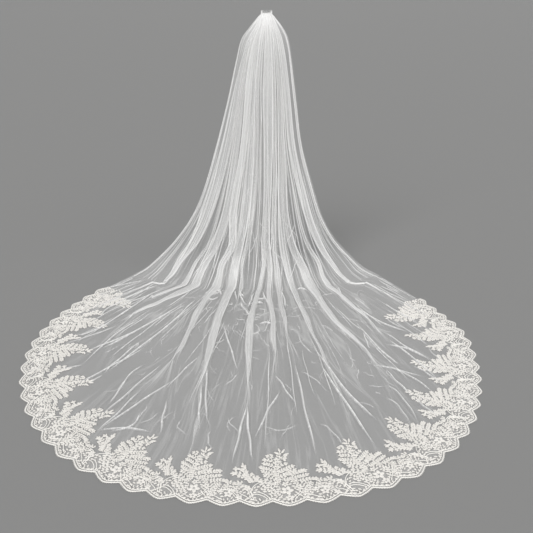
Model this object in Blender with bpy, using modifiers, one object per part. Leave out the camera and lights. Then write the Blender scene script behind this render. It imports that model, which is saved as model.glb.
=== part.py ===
"""Cathedral bridal veil: a gathered tulle panel on a hair comb, with a scalloped lace border.

Units are metres. The origin is the middle of the comb's spine, +Z is up, and the veil falls
from the comb to a floor below it and runs out along the floor towards -Y as a train.
"""
import bpy
import bmesh
import math
import numpy as np
from mathutils import Matrix, Vector

# Heights and walls
COMB_HEIGHT = 1.310          # comb spine above the floor
TULLE_WALL = 0.0012
LACE_WALL = 0.0016
SEAM_GAP = 0.0003            # between pieces that are sewn together

# Comb
COMB_LENGTH = 0.054
COMB_SPINE = (0.0040, 0.0050)            # spine's depth and height
SPINE_ROUNDING = 0.0012
COMB_TEETH = 16                          # fine teeth between the two end teeth
TOOTH_LENGTH = 0.038
TOOTH_LIFT = math.radians(22)            # teeth slope up behind the spine
FINE_TOOTH = (0.00075, 0.00035, 5)       # radius at the root and at the tip, sides
END_TOOTH = (0.00190, 0.00100, 8)
SHARP_EDGE = math.radians(35)
HEADING_FRONT = COMB_SPINE[0] / 2 + SEAM_GAP + TULLE_WALL / 2

# Hem on the floor: the line through the roots of the scallops, round this centre
HEM_CENTRE = (-0.075, -1.000)
HEM = (                      # bearing round the centre in degrees, radius
    (137, 1.037),
    (150, 0.993),
    (165, 0.955),
    (180, 0.916),
    (200, 0.877),
    (225, 0.862),
    (250, 0.854),
    (270, 0.848),
    (290, 0.874),
    (310, 0.904),
    (330, 0.911),
    (345, 0.913),
    (360, 0.932),
    (375, 0.975),
    (390, 0.996),
    (398, 1.028),
)
HEM_INSET = 0.004            # tulle is trimmed this far inside the scallop roots

# Sections of the fall, from the gathered heading down to the floor
SECTIONS = (                 # height, left, right, front, back, turn to each side, fold depth
    (1.3110, 0.0240, 0.0240, HEADING_FRONT, -HEADING_FRONT, 90, 0.0000),
    (1.3000, 0.0350, 0.0345, 0.0090, -0.0010, 90, 0.0000),
    (1.2850, 0.0480, 0.0470, 0.0180, 0.0040, 90, 0.0000),
    (1.2450, 0.0820, 0.0790, 0.0320, 0.0120, 90, 0.0020),
    (1.1900, 0.1220, 0.1070, 0.0440, 0.0180, 90, 0.0052),
    (1.0900, 0.1490, 0.1260, 0.0580, 0.0220, 90, 0.0085),
    (0.9000, 0.1930, 0.1510, 0.0750, 0.0250, 90, 0.0120),
    (0.6800, 0.2520, 0.1800, 0.0940, 0.0280, 90, 0.0165),
    (0.4600, 0.3200, 0.2400, 0.1120, 0.0300, 89, 0.0195),
    (0.2900, 0.3980, 0.2980, 0.1280, 0.0280, 87, 0.0200),
    (0.1600, 0.4940, 0.3760, 0.1480, 0.0180, 83, 0.0205),
    (0.0700, 0.5840, 0.4630, 0.1800, -0.0050, 78, 0.0205),
    (0.0200, 0.6500, 0.5250, 0.2250, -0.0400, 73, 0.0205),
    (0.0000, 0.7050, 0.5900, 0.2900, -0.0850, 68, 0.0210),
)
TRAIN_STEPS = (              # share of the way from the foot of the fall to the flat rim, ridge
    (0.00, 1.00),
    (0.16, 0.95),
    (0.42, 0.75),
    (0.72, 0.35),
    (1.00, 0.00),
)
TRAIN_RIDGE = 0.021          # height of a full ridge where the train starts
FLAT_RIM = 0.27              # the train lies flat this far in from the hem, under the lace
SHORT_RUN = 0.03             # shortest stretch between the foot of the fall and that rim
RIDGE_RUN = 0.45             # ridges are full only where that stretch is this long
BREAK_HEIGHT = 0.16          # below this the folds of the fall turn into ridges on the floor
FRONT_CROWDING = 0.75        # share of a row's angle that is spaced evenly; the rest widens to the sides
RIDGE_SHARPNESS = 1.4        # 1 is a round wave, more is a narrower ridge with a flatter valley
RIM_SAMPLES = 100            # steps along a train column in the search for the flat rim
HEM_STRIDE = 12              # every so many points of the hem line are used in that search

# Folds, from the left free edge to the right one
COLUMNS_PER_FOLD = 6
FOLDS = (                    # width, fullness in the fall, height on the train
    (1.15, 0.75, 0.60),
    (0.85, 0.95, 0.90),
    (1.20, 1.00, 0.55),
    (0.80, 0.80, 1.00),
    (1.10, 1.05, 0.70),
    (1.30, 0.60, 0.45),
    (0.85, 1.00, 0.95),
    (0.75, 1.10, 0.75),
    (0.95, 1.00, 1.00),
    (1.10, 0.90, 0.60),
    (0.80, 1.10, 0.95),
    (0.85, 1.00, 0.80),
    (1.05, 0.95, 1.00),
    (0.80, 1.10, 0.65),
    (0.90, 0.95, 1.00),
    (1.25, 0.60, 0.50),
    (0.85, 1.05, 0.95),
    (0.80, 1.00, 0.85),
    (1.15, 0.85, 0.55),
    (0.90, 1.05, 1.00),
    (1.10, 0.80, 0.70),
    (0.85, 0.95, 0.90),
    (1.20, 0.85, 0.55),
    (1.15, 0.70, 0.60),
)

# Lace border: one repeat is three scallops, with one tall spray and one small sprig
REPEATS = 14
SCALLOPS_PER_REPEAT = 3
SCALLOP_DEPTH = 0.022
SCALLOP_POINTS = 5
SCALLOP_FULLNESS = 0.75      # 1 is a sine arch, less is a rounder scallop
HEM_SAMPLES = 1201           # points on the hem line when its length is measured
SPRAY_OUTLINE = (            # place along the repeat in scallops, height above the scallop roots
    (-0.15, 0.086),
    (-0.10, 0.118),
    (0.02, 0.148),
    (0.13, 0.182),
    (0.22, 0.160),
    (0.22, 0.134),
    (0.34, 0.112),
    (0.42, 0.090),
    (0.62, 0.086),
    (0.84, 0.104),
    (0.80, 0.142),
    (0.84, 0.176),
    (1.06, 0.180),
    (1.16, 0.206),
    (1.42, 0.218),
    (1.60, 0.242),
    (1.76, 0.238),
    (1.90, 0.254),
    (2.06, 0.232),
    (1.94, 0.206),
    (1.98, 0.180),
    (2.14, 0.168),
    (2.18, 0.144),
    (2.38, 0.140),
    (2.42, 0.116),
    (2.58, 0.110),
    (2.62, 0.088),
)
LACE_GAPS = (                # place in scallops, height, length along the hem, depth, tilt in degrees
    (0.24, 0.030, 0.026, 0.012, -20),
    (0.52, 0.022, 0.024, 0.011, 0),
    (0.80, 0.034, 0.024, 0.012, 25),
    (0.48, 0.062, 0.022, 0.009, 10),
    (1.28, 0.036, 0.018, 0.010, -35),
    (1.72, 0.032, 0.018, 0.010, 30),
    (1.10, 0.118, 0.016, 0.010, 60),
    (1.52, 0.150, 0.018, 0.010, 50),
    (1.92, 0.112, 0.018, 0.010, -30),
    (2.34, 0.034, 0.024, 0.010, 10),
    (2.72, 0.030, 0.020, 0.010, -20),
    (2.30, 0.078, 0.018, 0.009, 20),
)

# Materials: colour, roughness, alpha
WHITE_TULLE = ((0.86, 0.85, 0.83), 0.70, 0.35)
IVORY_LACE = ((0.84, 0.80, 0.74), 0.65, 1.00)
CLEAR_PLASTIC = ((0.80, 0.78, 0.74), 0.25, 0.75)


def clear_scene():
    for old in list(bpy.data.objects):
        bpy.data.objects.remove(old, do_unlink=True)


def new_collection(name):
    collection = bpy.data.collections.new(name)
    bpy.context.scene.collection.children.link(collection)
    return collection


def principled(name, colour, roughness, alpha):
    material = bpy.data.materials.new(name)
    material.use_nodes = True
    shader = material.node_tree.nodes["Principled BSDF"]
    shader.inputs["Base Color"].default_value = (*colour, 1.0)
    shader.inputs["Roughness"].default_value = roughness
    shader.inputs["Alpha"].default_value = alpha
    return material


def new_object(name, mesh, material, collection):
    thing = bpy.data.objects.new(name, mesh)
    thing.data.materials.append(material)
    collection.objects.link(thing)
    return thing


def hem_point(bearing, outwards=0.0):
    """Points on the hem line at the given bearings in degrees, moved outwards from the centre."""
    table = np.array(HEM, dtype=float)
    radius = smooth_interp(bearing, table[:, 0], table[:, 1]) + outwards
    angle = np.radians(bearing)
    return np.stack([HEM_CENTRE[0] + radius * np.cos(angle), HEM_CENTRE[1] + radius * np.sin(angle)], -1)


def smooth_interp(x, knots, values):
    """Cubic interpolation through the knots, with each knot's slope taken from its neighbours."""
    slopes = np.gradient(values, knots)
    x = np.clip(x, knots[0], knots[-1])
    left = np.clip(np.searchsorted(knots, x, side="right") - 1, 0, len(knots) - 2)
    span = knots[left + 1] - knots[left]
    t = (x - knots[left]) / span
    return (values[left] * (1 + 2 * t) * (1 - t) ** 2 + values[left + 1] * t * t * (3 - 2 * t)
            + slopes[left] * span * t * (1 - t) ** 2 - slopes[left + 1] * span * t * t * (1 - t))


def fold_columns():
    """Place across the veil from -1 to 1, wave from -1 in a valley to 1 on a crest, and the
    fall's and the train's strength of the fold that each column belongs to."""
    folds = np.array(FOLDS, dtype=float)
    edges = np.concatenate([[0.0], np.cumsum(folds[:, 0])])
    edges = edges / edges[-1] * 2.0 - 1.0
    steps = np.arange(len(FOLDS) * COLUMNS_PER_FOLD + 1) / COLUMNS_PER_FOLD
    place = np.interp(steps, np.arange(len(edges)), edges)
    wave = -np.cos(2.0 * math.pi * steps)
    middles = np.arange(len(FOLDS)) + 0.5
    return place, wave, np.interp(steps, middles, folds[:, 1]), np.interp(steps, middles, folds[:, 2])


def base_surface(place):
    """Rows of points across the veil with no folds, and how far each column runs before the flat
    rim. In the fall a row is half an ellipse that is open at the back, opening wider near the
    floor, and on the train the columns go straight from the last section to the rim and on to
    the hem."""
    rows = []
    for height, left, right, front, back, turn, _ in SECTIONS:
        edge = math.radians(turn)
        angle = edge * (FRONT_CROWDING * place + (1.0 - FRONT_CROWDING) * place ** 3)
        half_width = np.where(place < 0, left, right)
        forwards = (np.cos(angle) - math.cos(edge)) / (1.0 - math.cos(edge))
        rows.append(np.stack([half_width * np.sin(angle) / math.sin(edge),
                              back - (front + back) * forwards,
                              np.full_like(place, height - COMB_HEIGHT)], -1))
    first, last = HEM[0][0], HEM[-1][0]
    hem = hem_point(first + (last - first) * (place + 1) / 2, -HEM_INSET)
    foot = rows[-1][:, :2]
    run = np.linalg.norm(hem - foot, axis=1)
    shares = np.linspace(0.0, 1.0, RIM_SAMPLES + 1)[:, None]
    tries = foot[:, None] + (hem - foot)[:, None] * shares
    to_hem = np.linalg.norm(tries[:, :, None] - hem_path()[1][::HEM_STRIDE], axis=-1).min(axis=-1)
    to_rim = np.maximum((to_hem > FLAT_RIM).sum(axis=1) / RIM_SAMPLES * run, SHORT_RUN)
    rim = foot + (hem - foot) * (to_rim / run)[:, None]
    for share, _ in TRAIN_STEPS[1:]:
        rows.append(np.column_stack([foot + (rim - foot) * share, np.full(len(place), -COMB_HEIGHT)]))
    rows.append(np.column_stack([hem, np.full(len(place), -COMB_HEIGHT)]))
    return np.array(rows), to_rim


def surface_normals(points):
    """Unit normals of a grid, pointing up and forwards, away from the hollow behind the fall."""
    across = np.gradient(points, axis=1)
    down = np.gradient(points, axis=0)
    normal = np.cross(down, across)
    return normal / np.linalg.norm(normal, axis=-1, keepdims=True)


def folded_surface():
    """The base surface moved along its normals by the folds: waves to both sides in the fall,
    and ridges that only rise on the train, dying away before the lace."""
    place, wave, fullness, ridge = fold_columns()
    points, to_rim = base_surface(place)
    normals = surface_normals(points)
    fall_rows = len(SECTIONS)
    waves = np.array([section[6] for section in SECTIONS])[:, None] * fullness * wave
    crest = TRAIN_RIDGE * ridge * ((1.0 + wave) / 2.0) ** RIDGE_SHARPNESS
    crest *= np.clip((to_rim - SHORT_RUN) / RIDGE_RUN, 0.0, 1.0)
    lying = np.clip(1.0 - (points[:fall_rows, :, 2] + COMB_HEIGHT) / BREAK_HEIGHT, 0.0, 1.0)
    moved = points.copy()
    moved[:fall_rows] += normals[:fall_rows] * (waves * (1.0 - lying) + crest * lying)[..., None]
    moved[fall_rows:-1, :, 2] += np.array([height for _, height in TRAIN_STEPS[1:]])[:, None] * crest
    moved[..., 2] = np.maximum(moved[..., 2], -COMB_HEIGHT) + TULLE_WALL / 2
    return moved


def grid_mesh(name, points):
    rows, columns = points.shape[:2]
    index = np.arange(rows * columns).reshape(rows, columns)
    quads = np.stack([index[:-1, :-1], index[1:, :-1], index[1:, 1:], index[:-1, 1:]], -1)
    mesh = bpy.data.meshes.new(name)
    mesh.from_pydata(points.reshape(-1, 3).tolist(), [], quads.reshape(-1, 4).tolist())
    mesh.shade_smooth()
    return mesh


def make_tulle(collection):
    """One panel of tulle, gathered to the comb along its short top edge."""
    mesh = grid_mesh("tulle_panel", folded_surface())
    tulle = new_object("tulle_panel", mesh, principled("white_tulle", *WHITE_TULLE), collection)
    wall = tulle.modifiers.new("cloth wall", "SOLIDIFY")
    wall.thickness = TULLE_WALL
    wall.offset = 0.0
    return tulle


def hem_path():
    """The hem line as arc length against bearing, so that scallops can be evenly spaced."""
    bearing = np.linspace(HEM[0][0], HEM[-1][0], HEM_SAMPLES)
    points = hem_point(bearing)
    length = np.concatenate([[0.0], np.cumsum(np.linalg.norm(np.diff(points, axis=0), axis=1))])
    return bearing, points, length


def lace_points(scallops, height):
    """Floor points at a place along the hem in scallops and a height inwards from it in metres,
    measured square to the hem line."""
    bearing, points, length = hem_path()
    along = np.asarray(scallops, dtype=float) / (REPEATS * SCALLOPS_PER_REPEAT) * length[-1]
    slope = np.gradient(points, length, axis=0)
    on_hem = np.stack([np.interp(along, length, points[:, axis]) for axis in (0, 1)], -1)
    tangent = np.stack([np.interp(along, length, slope[:, axis]) for axis in (0, 1)], -1)
    tangent /= np.linalg.norm(tangent, axis=-1, keepdims=True)
    inwards = np.stack([-tangent[..., 1], tangent[..., 0]], -1)
    return on_hem + inwards * np.asarray(height, dtype=float)[..., None]


def lace_outline():
    """The border's outline: out along the scallops, and back along the sprays and sprigs."""
    count = REPEATS * SCALLOPS_PER_REPEAT
    step = np.arange(count * SCALLOP_POINTS + 1) / SCALLOP_POINTS
    bulge = SCALLOP_DEPTH * np.sin(math.pi * (step % 1.0)) ** SCALLOP_FULLNESS
    outer = lace_points(step, -bulge)
    spray = np.array(SPRAY_OUTLINE)
    shift = np.arange(REPEATS) * SCALLOPS_PER_REPEAT
    along = (spray[None, :, 0] + shift[:, None]).ravel()
    height = np.tile(spray[:, 1], REPEATS)
    inside = (along > 0.0) & (along < count)
    inner = lace_points(along[inside], height[inside])
    return np.concatenate([outer, inner[::-1]])


def lace_gap_outlines():
    """The widest openings of each repeat, as four-cornered lens shapes."""
    outlines = []
    scallop = hem_path()[2][-1] / (REPEATS * SCALLOPS_PER_REPEAT)
    for repeat in range(REPEATS):
        for place, height, length, depth, tilt in LACE_GAPS:
            corner = np.radians([0, 90, 180, 270])
            x = length / 2 * np.cos(corner)
            y = depth / 2 * np.sin(corner)
            turn = math.radians(tilt)
            along = place + repeat * SCALLOPS_PER_REPEAT + (x * math.cos(turn) - y * math.sin(turn)) / scallop
            rise = height + x * math.sin(turn) + y * math.cos(turn)
            outlines.append(lace_points(along, rise))
    return outlines


def add_closed_spline(curve, points):
    spline = curve.splines.new("POLY")
    spline.points.add(len(points) - 1)
    spline.points.foreach_set("co", np.column_stack([points, np.zeros(len(points)), np.ones(len(points))]).ravel())
    spline.use_cyclic_u = True


def make_lace(collection):
    """The lace border, one flat strip with its openings cut through, laid on the tulle."""
    curve = bpy.data.curves.new("lace_border", "CURVE")
    curve.dimensions = "2D"
    curve.fill_mode = "BOTH"
    curve.extrude = LACE_WALL / 2
    add_closed_spline(curve, lace_outline())
    for gap in lace_gap_outlines():
        add_closed_spline(curve, gap)
    lace = new_object("lace_border", curve, principled("ivory_lace", *IVORY_LACE), collection)
    lace.location.z = -COMB_HEIGHT + TULLE_WALL + SEAM_GAP + LACE_WALL / 2
    return lace


def tooth_matrix(x):
    """A tooth's place: its root inside the spine at x, its axis backwards and up."""
    direction = Vector((0.0, math.cos(TOOTH_LIFT), math.sin(TOOTH_LIFT)))
    return Matrix.Translation(Vector((x, 0.0, 0.0)) + direction * TOOTH_LENGTH / 2) @ \
        direction.to_track_quat("Z", "Y").to_matrix().to_4x4()


def make_comb(collection, cutters):
    """The comb: a bar with rounded corners, two stout end teeth and a row of fine teeth."""
    teeth = bmesh.new()
    reach = COMB_LENGTH / 2 - END_TOOTH[0]
    for x in np.linspace(-reach, reach, COMB_TEETH + 2):
        root, tip, sides = END_TOOTH if x in (-reach, reach) else FINE_TOOTH
        bmesh.ops.create_cone(teeth, cap_ends=True, segments=sides, radius1=root, radius2=tip,
                              depth=TOOTH_LENGTH, matrix=tooth_matrix(float(x)))
    tooth_mesh = bpy.data.meshes.new("comb_teeth")
    teeth.to_mesh(tooth_mesh)
    teeth.free()
    plastic = principled("clear_comb_plastic", *CLEAR_PLASTIC)
    row_of_teeth = new_object("comb_teeth", tooth_mesh, plastic, cutters)
    row_of_teeth.hide_render = True
    row_of_teeth.display_type = "WIRE"

    bar = bmesh.new()
    bmesh.ops.create_cube(bar, size=1.0)
    bmesh.ops.scale(bar, vec=(COMB_LENGTH, *COMB_SPINE), verts=bar.verts)
    spine_mesh = bpy.data.meshes.new("comb")
    bar.to_mesh(spine_mesh)
    bar.free()
    comb = new_object("comb", spine_mesh, plastic, collection)
    rounding = comb.modifiers.new("rounded edges", "BEVEL")
    rounding.width = SPINE_ROUNDING
    rounding.segments = 2
    union = comb.modifiers.new("teeth", "BOOLEAN")
    union.operation = "UNION"
    union.object = row_of_teeth
    comb.data.shade_smooth()
    comb.data.set_sharp_from_angle(angle=SHARP_EDGE)
    return comb


def main():
    clear_scene()
    veil = new_collection("bridal_veil")
    cutters = new_collection("cutters")
    make_tulle(veil)
    make_lace(veil)
    make_comb(veil, cutters)


main()
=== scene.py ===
import math
import bpy
import numpy as np
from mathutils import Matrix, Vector


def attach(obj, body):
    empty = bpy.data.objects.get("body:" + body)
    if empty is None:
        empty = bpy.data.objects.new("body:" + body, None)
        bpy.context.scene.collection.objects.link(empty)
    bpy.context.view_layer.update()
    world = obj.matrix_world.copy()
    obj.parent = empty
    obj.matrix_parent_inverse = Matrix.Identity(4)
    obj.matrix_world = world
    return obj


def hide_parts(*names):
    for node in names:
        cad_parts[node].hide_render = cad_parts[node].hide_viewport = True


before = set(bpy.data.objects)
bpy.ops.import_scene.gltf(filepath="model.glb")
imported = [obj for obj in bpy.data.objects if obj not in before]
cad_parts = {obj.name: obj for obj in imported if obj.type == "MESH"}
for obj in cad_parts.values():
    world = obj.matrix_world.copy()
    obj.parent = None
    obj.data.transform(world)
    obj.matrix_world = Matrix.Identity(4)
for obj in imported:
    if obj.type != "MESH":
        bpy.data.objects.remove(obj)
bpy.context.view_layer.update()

# Studio: a camera standing in front of the train and looking down along it, a plain pale floor
# that runs out of sight, and soft light from large lamps overhead and in front.
CAMERA_PLACE = (0.0, -3.535, 0.165)
CAMERA_TILT = 67.47              # degrees from looking straight down
SENSOR_WIDTH = 36.0              # mm
PICTURE_WIDTH = 533.0
FOCAL_LENGTH = 700.0             # in the same pixels
FLOOR_Z = -1.310
FLOOR_REACH = 400.0
FLOOR_COLOUR = (0.235, 0.235, 0.23265, 1.0)
ROOM_LIGHT = 0.42
LAMPS = (                        # name, shines from, softness in degrees, strength
    ("key_lamp", (-0.8, -1.8, 1.5), 40.0, 2.3),
    ("fill_lamp", (1.4, -1.2, 0.9), 60.0, 0.9),
    ("back_lamp", (0.3, 1.5, 1.0), 60.0, 0.7),
)

camera = bpy.data.objects.new("camera", bpy.data.cameras.new("camera"))
camera.location = CAMERA_PLACE
camera.rotation_euler = (math.radians(CAMERA_TILT), 0.0, 0.0)
camera.data.sensor_width = SENSOR_WIDTH
camera.data.lens = FOCAL_LENGTH / PICTURE_WIDTH * SENSOR_WIDTH
camera.data.clip_end = 1000.0
bpy.context.scene.collection.objects.link(camera)
bpy.context.scene.camera = camera


def new_material(name, values):
    """A material with the given values on the sockets of its own shader."""
    material = bpy.data.materials.new(name)
    material.use_nodes = True
    shader = material.node_tree.nodes["Principled BSDF"]
    for socket, value in values.items():
        shader.inputs[socket].default_value = value
    return material, material.node_tree.nodes, material.node_tree.links, shader


floor_mesh = bpy.data.meshes.new("floor")
floor_corners = [(x * FLOOR_REACH, y * FLOOR_REACH, FLOOR_Z) for x, y in ((-1, -1), (1, -1), (1, 1), (-1, 1))]
floor_mesh.from_pydata(floor_corners, [], [(0, 1, 2, 3)])
floor = bpy.data.objects.new("floor", floor_mesh)
bpy.context.scene.collection.objects.link(floor)
floor_paint, nodes, links, shader = new_material("studio_floor", {
    "Base Color": FLOOR_COLOUR, "Roughness": 0.95, "Specular IOR Level": 0.1})
floor_mesh.materials.append(floor_paint)

for lamp_name, shines_from, softness, strength in LAMPS:
    lamp = bpy.data.objects.new(lamp_name, bpy.data.lights.new(lamp_name, "SUN"))
    lamp.data.angle = math.radians(softness)
    lamp.data.energy = strength
    lamp.location = Vector(shines_from) * 3.0
    lamp.rotation_euler = (-Vector(shines_from)).to_track_quat("-Z", "Y").to_euler()
    bpy.context.scene.collection.objects.link(lamp)

room = bpy.data.worlds.new("soft_room")
room.use_nodes = True
room.node_tree.nodes["Background"].inputs["Color"].default_value = (1.0, 1.0, 1.0, 1.0)
room.node_tree.nodes["Background"].inputs["Strength"].default_value = ROOM_LIGHT
bpy.context.scene.view_settings.view_transform = "Standard"
bpy.context.scene.world = room


# Tulle panel: one length of soft nylon net, gathered tightly along its top edge, dropping in
# deep uneven folds to the floor and fanning out there into low ridges. Its end is cut round.
COMB_HEIGHT = 1.310
TULLE_WALL = 0.0012
HEM_CENTRE = (-0.075, -1.000)
HEM = np.array((                 # bearing round the centre in degrees, radius of the scallop roots
    (137, 1.037), (150, 0.993), (165, 0.955), (180, 0.916), (200, 0.877), (225, 0.862),
    (250, 0.854), (270, 0.848), (290, 0.874), (310, 0.904), (330, 0.911), (345, 0.913),
    (360, 0.932), (375, 0.975), (390, 0.996), (398, 1.028),
), dtype=float)
HEM_INSET = 0.004
SECTIONS = np.array((            # height, left, right, front, back, turn to each side, fold depth
    (1.3110, 0.0240, 0.0240, 0.0029, -0.0029, 90, 0.0000),
    (1.3000, 0.0350, 0.0345, 0.0090, -0.0010, 90, 0.0000),
    (1.2850, 0.0480, 0.0470, 0.0180, 0.0040, 90, 0.0000),
    (1.2450, 0.0820, 0.0790, 0.0320, 0.0120, 90, 0.0020),
    (1.1900, 0.1220, 0.1070, 0.0440, 0.0180, 90, 0.0052),
    (1.0900, 0.1490, 0.1260, 0.0580, 0.0220, 90, 0.0085),
    (0.9000, 0.1930, 0.1510, 0.0750, 0.0250, 90, 0.0120),
    (0.6800, 0.2520, 0.1800, 0.0940, 0.0280, 90, 0.0165),
    (0.4600, 0.3200, 0.2400, 0.1120, 0.0300, 89, 0.0195),
    (0.2900, 0.3980, 0.2980, 0.1280, 0.0280, 87, 0.0200),
    (0.1600, 0.4940, 0.3760, 0.1480, 0.0180, 83, 0.0205),
    (0.0700, 0.5840, 0.4630, 0.1800, -0.0050, 78, 0.0205),
    (0.0200, 0.6500, 0.5250, 0.2250, -0.0400, 73, 0.0205),
    (0.0000, 0.7050, 0.5900, 0.2900, -0.0850, 68, 0.0210),
), dtype=float)
# Where the pleats' places and widths are given: height over the floor, then run along the train
PLEAT_LEVELS = np.array((1.25, 1.10, 0.68, 0.37, 0.13, 0.00, -0.25, -0.60, -1.00))
WIDTH_LEVELS = np.array((1.25, 0.90, 0.37, 0.00, -0.45))
PLEATS = np.array((              # nine places in % of the half width, five widths in mm, side that turns
    # over, run at which the pleat ends, rise in mm, thicknesses of net in it and beyond it
    (-93, -93, -94, -95, -96, -97, -97, -97, -97, 5, 6, 8, 8, 5, -1, 1.95, 3, 0.80, 1.05),
    (-52, -64, -70, -74, -71, -72, -72, -75, -79, 15, 42, 62, 18, 7, -1, 1.95, 8, 1.45, 0.50),
    (-49, -57, -57, -57, -56, -59, -62, -65, -68, 10, 8, 14, 28, 22, 1, 0.95, 9, 0.70, 0.35),
    (-43, -51, -50, -49, -50, -52, -56, -60, -60, 15, 20, 41, 41, 30, -1, 1.05, 11, 1.30, 0.80),
    (-33, -40, -38, -40, -32, -36, -33, -26, -22, 15, 33, 46, 38, 26, -1, 0.95, 13, 1.90, 1.60),
    (-24, -29, -26, -26, -26, -26, -21, -15, -9, 15, 29, 46, 42, 32, 1, 0.95, 17, 1.30, 1.20),
    (-16, -20, -17, -18, -19, -18, -14, -12, -10, 15, 15, 25, 26, 9, -1, 0.35, 9, 1.60, 1.20),
    (-7, -12, -9, -9, -11, -10, -9, -8, -8, 14, 15, 15, 20, 9, 1, 0.28, 6, 1.50, 0.90),
    (3, -1, -1, -2, -4, -5, -5, -1, 0, 15, 24, 21, 24, 30, -1, 0.96, 17, 1.60, 1.50),
    (12, 11, 9, 3, 1, 2, 6, 7, 6, 15, 29, 26, 26, 22, 1, 0.80, 13, 1.70, 1.50),
    (20, 22, 19, 12, 9, 11, 12, 15, 18, 14, 15, 20, 24, 16, 1, 0.68, 9, 1.30, 0.90),
    (28, 32, 30, 23, 21, 23, 24, 24, 25, 14, 15, 31, 34, 14, -1, 1.00, 10, 1.20, 0.60),
    (35, 40, 39, 32, 34, 38, 37, 40, 41, 14, 8, 20, 41, 28, 1, 1.00, 15, 0.90, 0.35),
    (42, 46, 47, 50, 52, 53, 54, 53, 53, 14, 10, 13, 31, 23, -1, 0.95, 13, 0.75, 0.40),
    (50, 54, 60, 65, 69, 71, 72, 76, 81, 15, 42, 52, 18, 7, 1, 1.90, 9, 1.60, 1.10),
    (82, 82, 86, 88, 92, 95, 96, 96, 96, 5, 6, 8, 8, 5, 1, 1.95, 3, 0.80, 0.95),
), dtype=float)
GATHER = np.array((              # height over the floor, how much closer the net is packed
    (0.00, 0.80), (0.30, 0.85), (0.90, 0.95), (1.10, 1.30), (1.22, 2.30), (1.31, 4.50),
))
FOLD_LYING = 0.0022              # half the height of a pleat that lies on the floor
THINNEST_FOLD = 0.0006           # half the depth of a pleat at the heading
PRESSED_FOLD = 0.006             # and at most where the fall meets the floor
EDGE_CALM = 0.85                 # share of their depth that folds lose at the panel's edges
FLAT_RIM = 0.27                  # width of the train's rim on which no pleat stands
SHORT_RUN = 0.03                 # least way from the foot of the fall to that rim
BREAK_HEIGHT = 0.16              # below this the net begins to lie
FRONT_CROWDING = 0.75            # share of the panel that is spread evenly round the fall
BASE_COLUMNS = 720
LAYER_COLUMNS = 9                # columns across one layer of a pleat
TURN_COLUMNS = 3                 # round one of its turns
OPEN_COLUMNS = 150               # and across half the panel's open net
FALL_ROWS = 62
TRAIN_ROWS = 54
RIM_ROWS = 8
TRAIN_RUN = np.concatenate([     # run of each row: 1 at the flat rim, 2 at the hem
    np.linspace(0.0, 1.0, TRAIN_ROWS + 1)[1:], 1.0 + np.linspace(0.0, 1.0, RIM_ROWS + 1)[1:]])
PANEL_WIDTH = 1.90


def smooth_interp(x, knots, values):
    """Cubic through the knots, each knot's slope being the mean slope to its neighbours."""
    slopes = np.gradient(values, knots)
    x = np.clip(x, knots[0], knots[-1])
    left = np.clip(np.searchsorted(knots, x, side="right") - 1, 0, len(knots) - 2)
    span = knots[left + 1] - knots[left]
    t = (x - knots[left]) / span
    return (values[left] * (1 + 2 * t) * (1 - t) ** 2 + values[left + 1] * t * t * (3 - 2 * t)
            + slopes[left] * span * t * (1 - t) ** 2 - slopes[left + 1] * span * t * t * (1 - t))


def hem_point(bearing, outwards=0.0):
    """Point on the floor at a bearing round the hem's centre, at the table's radius."""
    radius = smooth_interp(bearing, HEM[:, 0], HEM[:, 1]) + outwards
    angle = np.radians(bearing)
    return np.stack([HEM_CENTRE[0] + radius * np.cos(angle), HEM_CENTRE[1] + radius * np.sin(angle)], -1)


HEM_BEARING = np.linspace(HEM[0, 0], HEM[-1, 0], 1201)
HEM_LINE = hem_point(HEM_BEARING)
HEM_LENGTH = np.concatenate([[0.0], np.cumsum(np.linalg.norm(np.diff(HEM_LINE, axis=0), axis=1))])


def base_surface(place):
    """Unfolded panel. Fall: each row is x = half width * sin(a) / sin(turn) and y eased from back
    to front by cos(a), with a running from -turn to turn. Train: straight lines from the lowest
    row to a flat rim and on to the hem."""
    # Row spacing follows the table's sections, closer where they are closer
    section = np.linspace(0.0, len(SECTIONS) - 1.0, FALL_ROWS)
    knots = np.arange(len(SECTIONS), dtype=float)
    columns = [smooth_interp(section, knots, SECTIONS[:, k]) for k in range(7)]
    height, left, right, front, back, turn, depth = [c[:, None] for c in columns]
    edge = np.radians(turn)
    angle = edge * (FRONT_CROWDING * place + (1.0 - FRONT_CROWDING) * place ** 3)
    half_width = np.where(place < 0, left, right)
    forwards = (np.cos(angle) - np.cos(edge)) / (1.0 - np.cos(edge))
    fall = np.stack([half_width * np.sin(angle) / np.sin(edge), back - (front + back) * forwards,
                     height - COMB_HEIGHT + 0.0 * angle], -1)
    hem = hem_point(HEM[0, 0] + (HEM[-1, 0] - HEM[0, 0]) * (place + 1) / 2, -HEM_INSET)
    foot = fall[-1, :, :2]
    run = np.linalg.norm(hem - foot, axis=1)
    shares = np.linspace(0.0, 1.0, 101)[:, None]
    tries = foot[:, None] + (hem - foot)[:, None] * shares
    to_hem = np.linalg.norm(tries[:, :, None] - HEM_LINE[::12], axis=-1).min(axis=-1)
    to_rim = np.maximum((to_hem > FLAT_RIM).sum(axis=1) / 100 * run, SHORT_RUN)
    # Smoothed across so that neighbouring columns end their ridges together
    window = np.hanning(BASE_COLUMNS // 12 + 1)
    padded = np.pad(to_rim, BASE_COLUMNS // 24, mode="edge")
    to_rim = np.convolve(padded, window / window.sum(), mode="valid")
    rim = foot + (hem - foot) * (to_rim / run)[:, None]
    out = np.linspace(0.0, 1.0, TRAIN_ROWS + 1)[1:, None, None]
    train = np.concatenate([foot + (rim - foot) * out,
                            rim + (hem - rim) * np.linspace(0.0, 1.0, RIM_ROWS + 1)[1:, None, None]])
    train = np.concatenate([train, np.full(train.shape[:2] + (1,), -COMB_HEIGHT)], -1)
    return np.concatenate([fall, train]), depth[:, 0]


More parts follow.
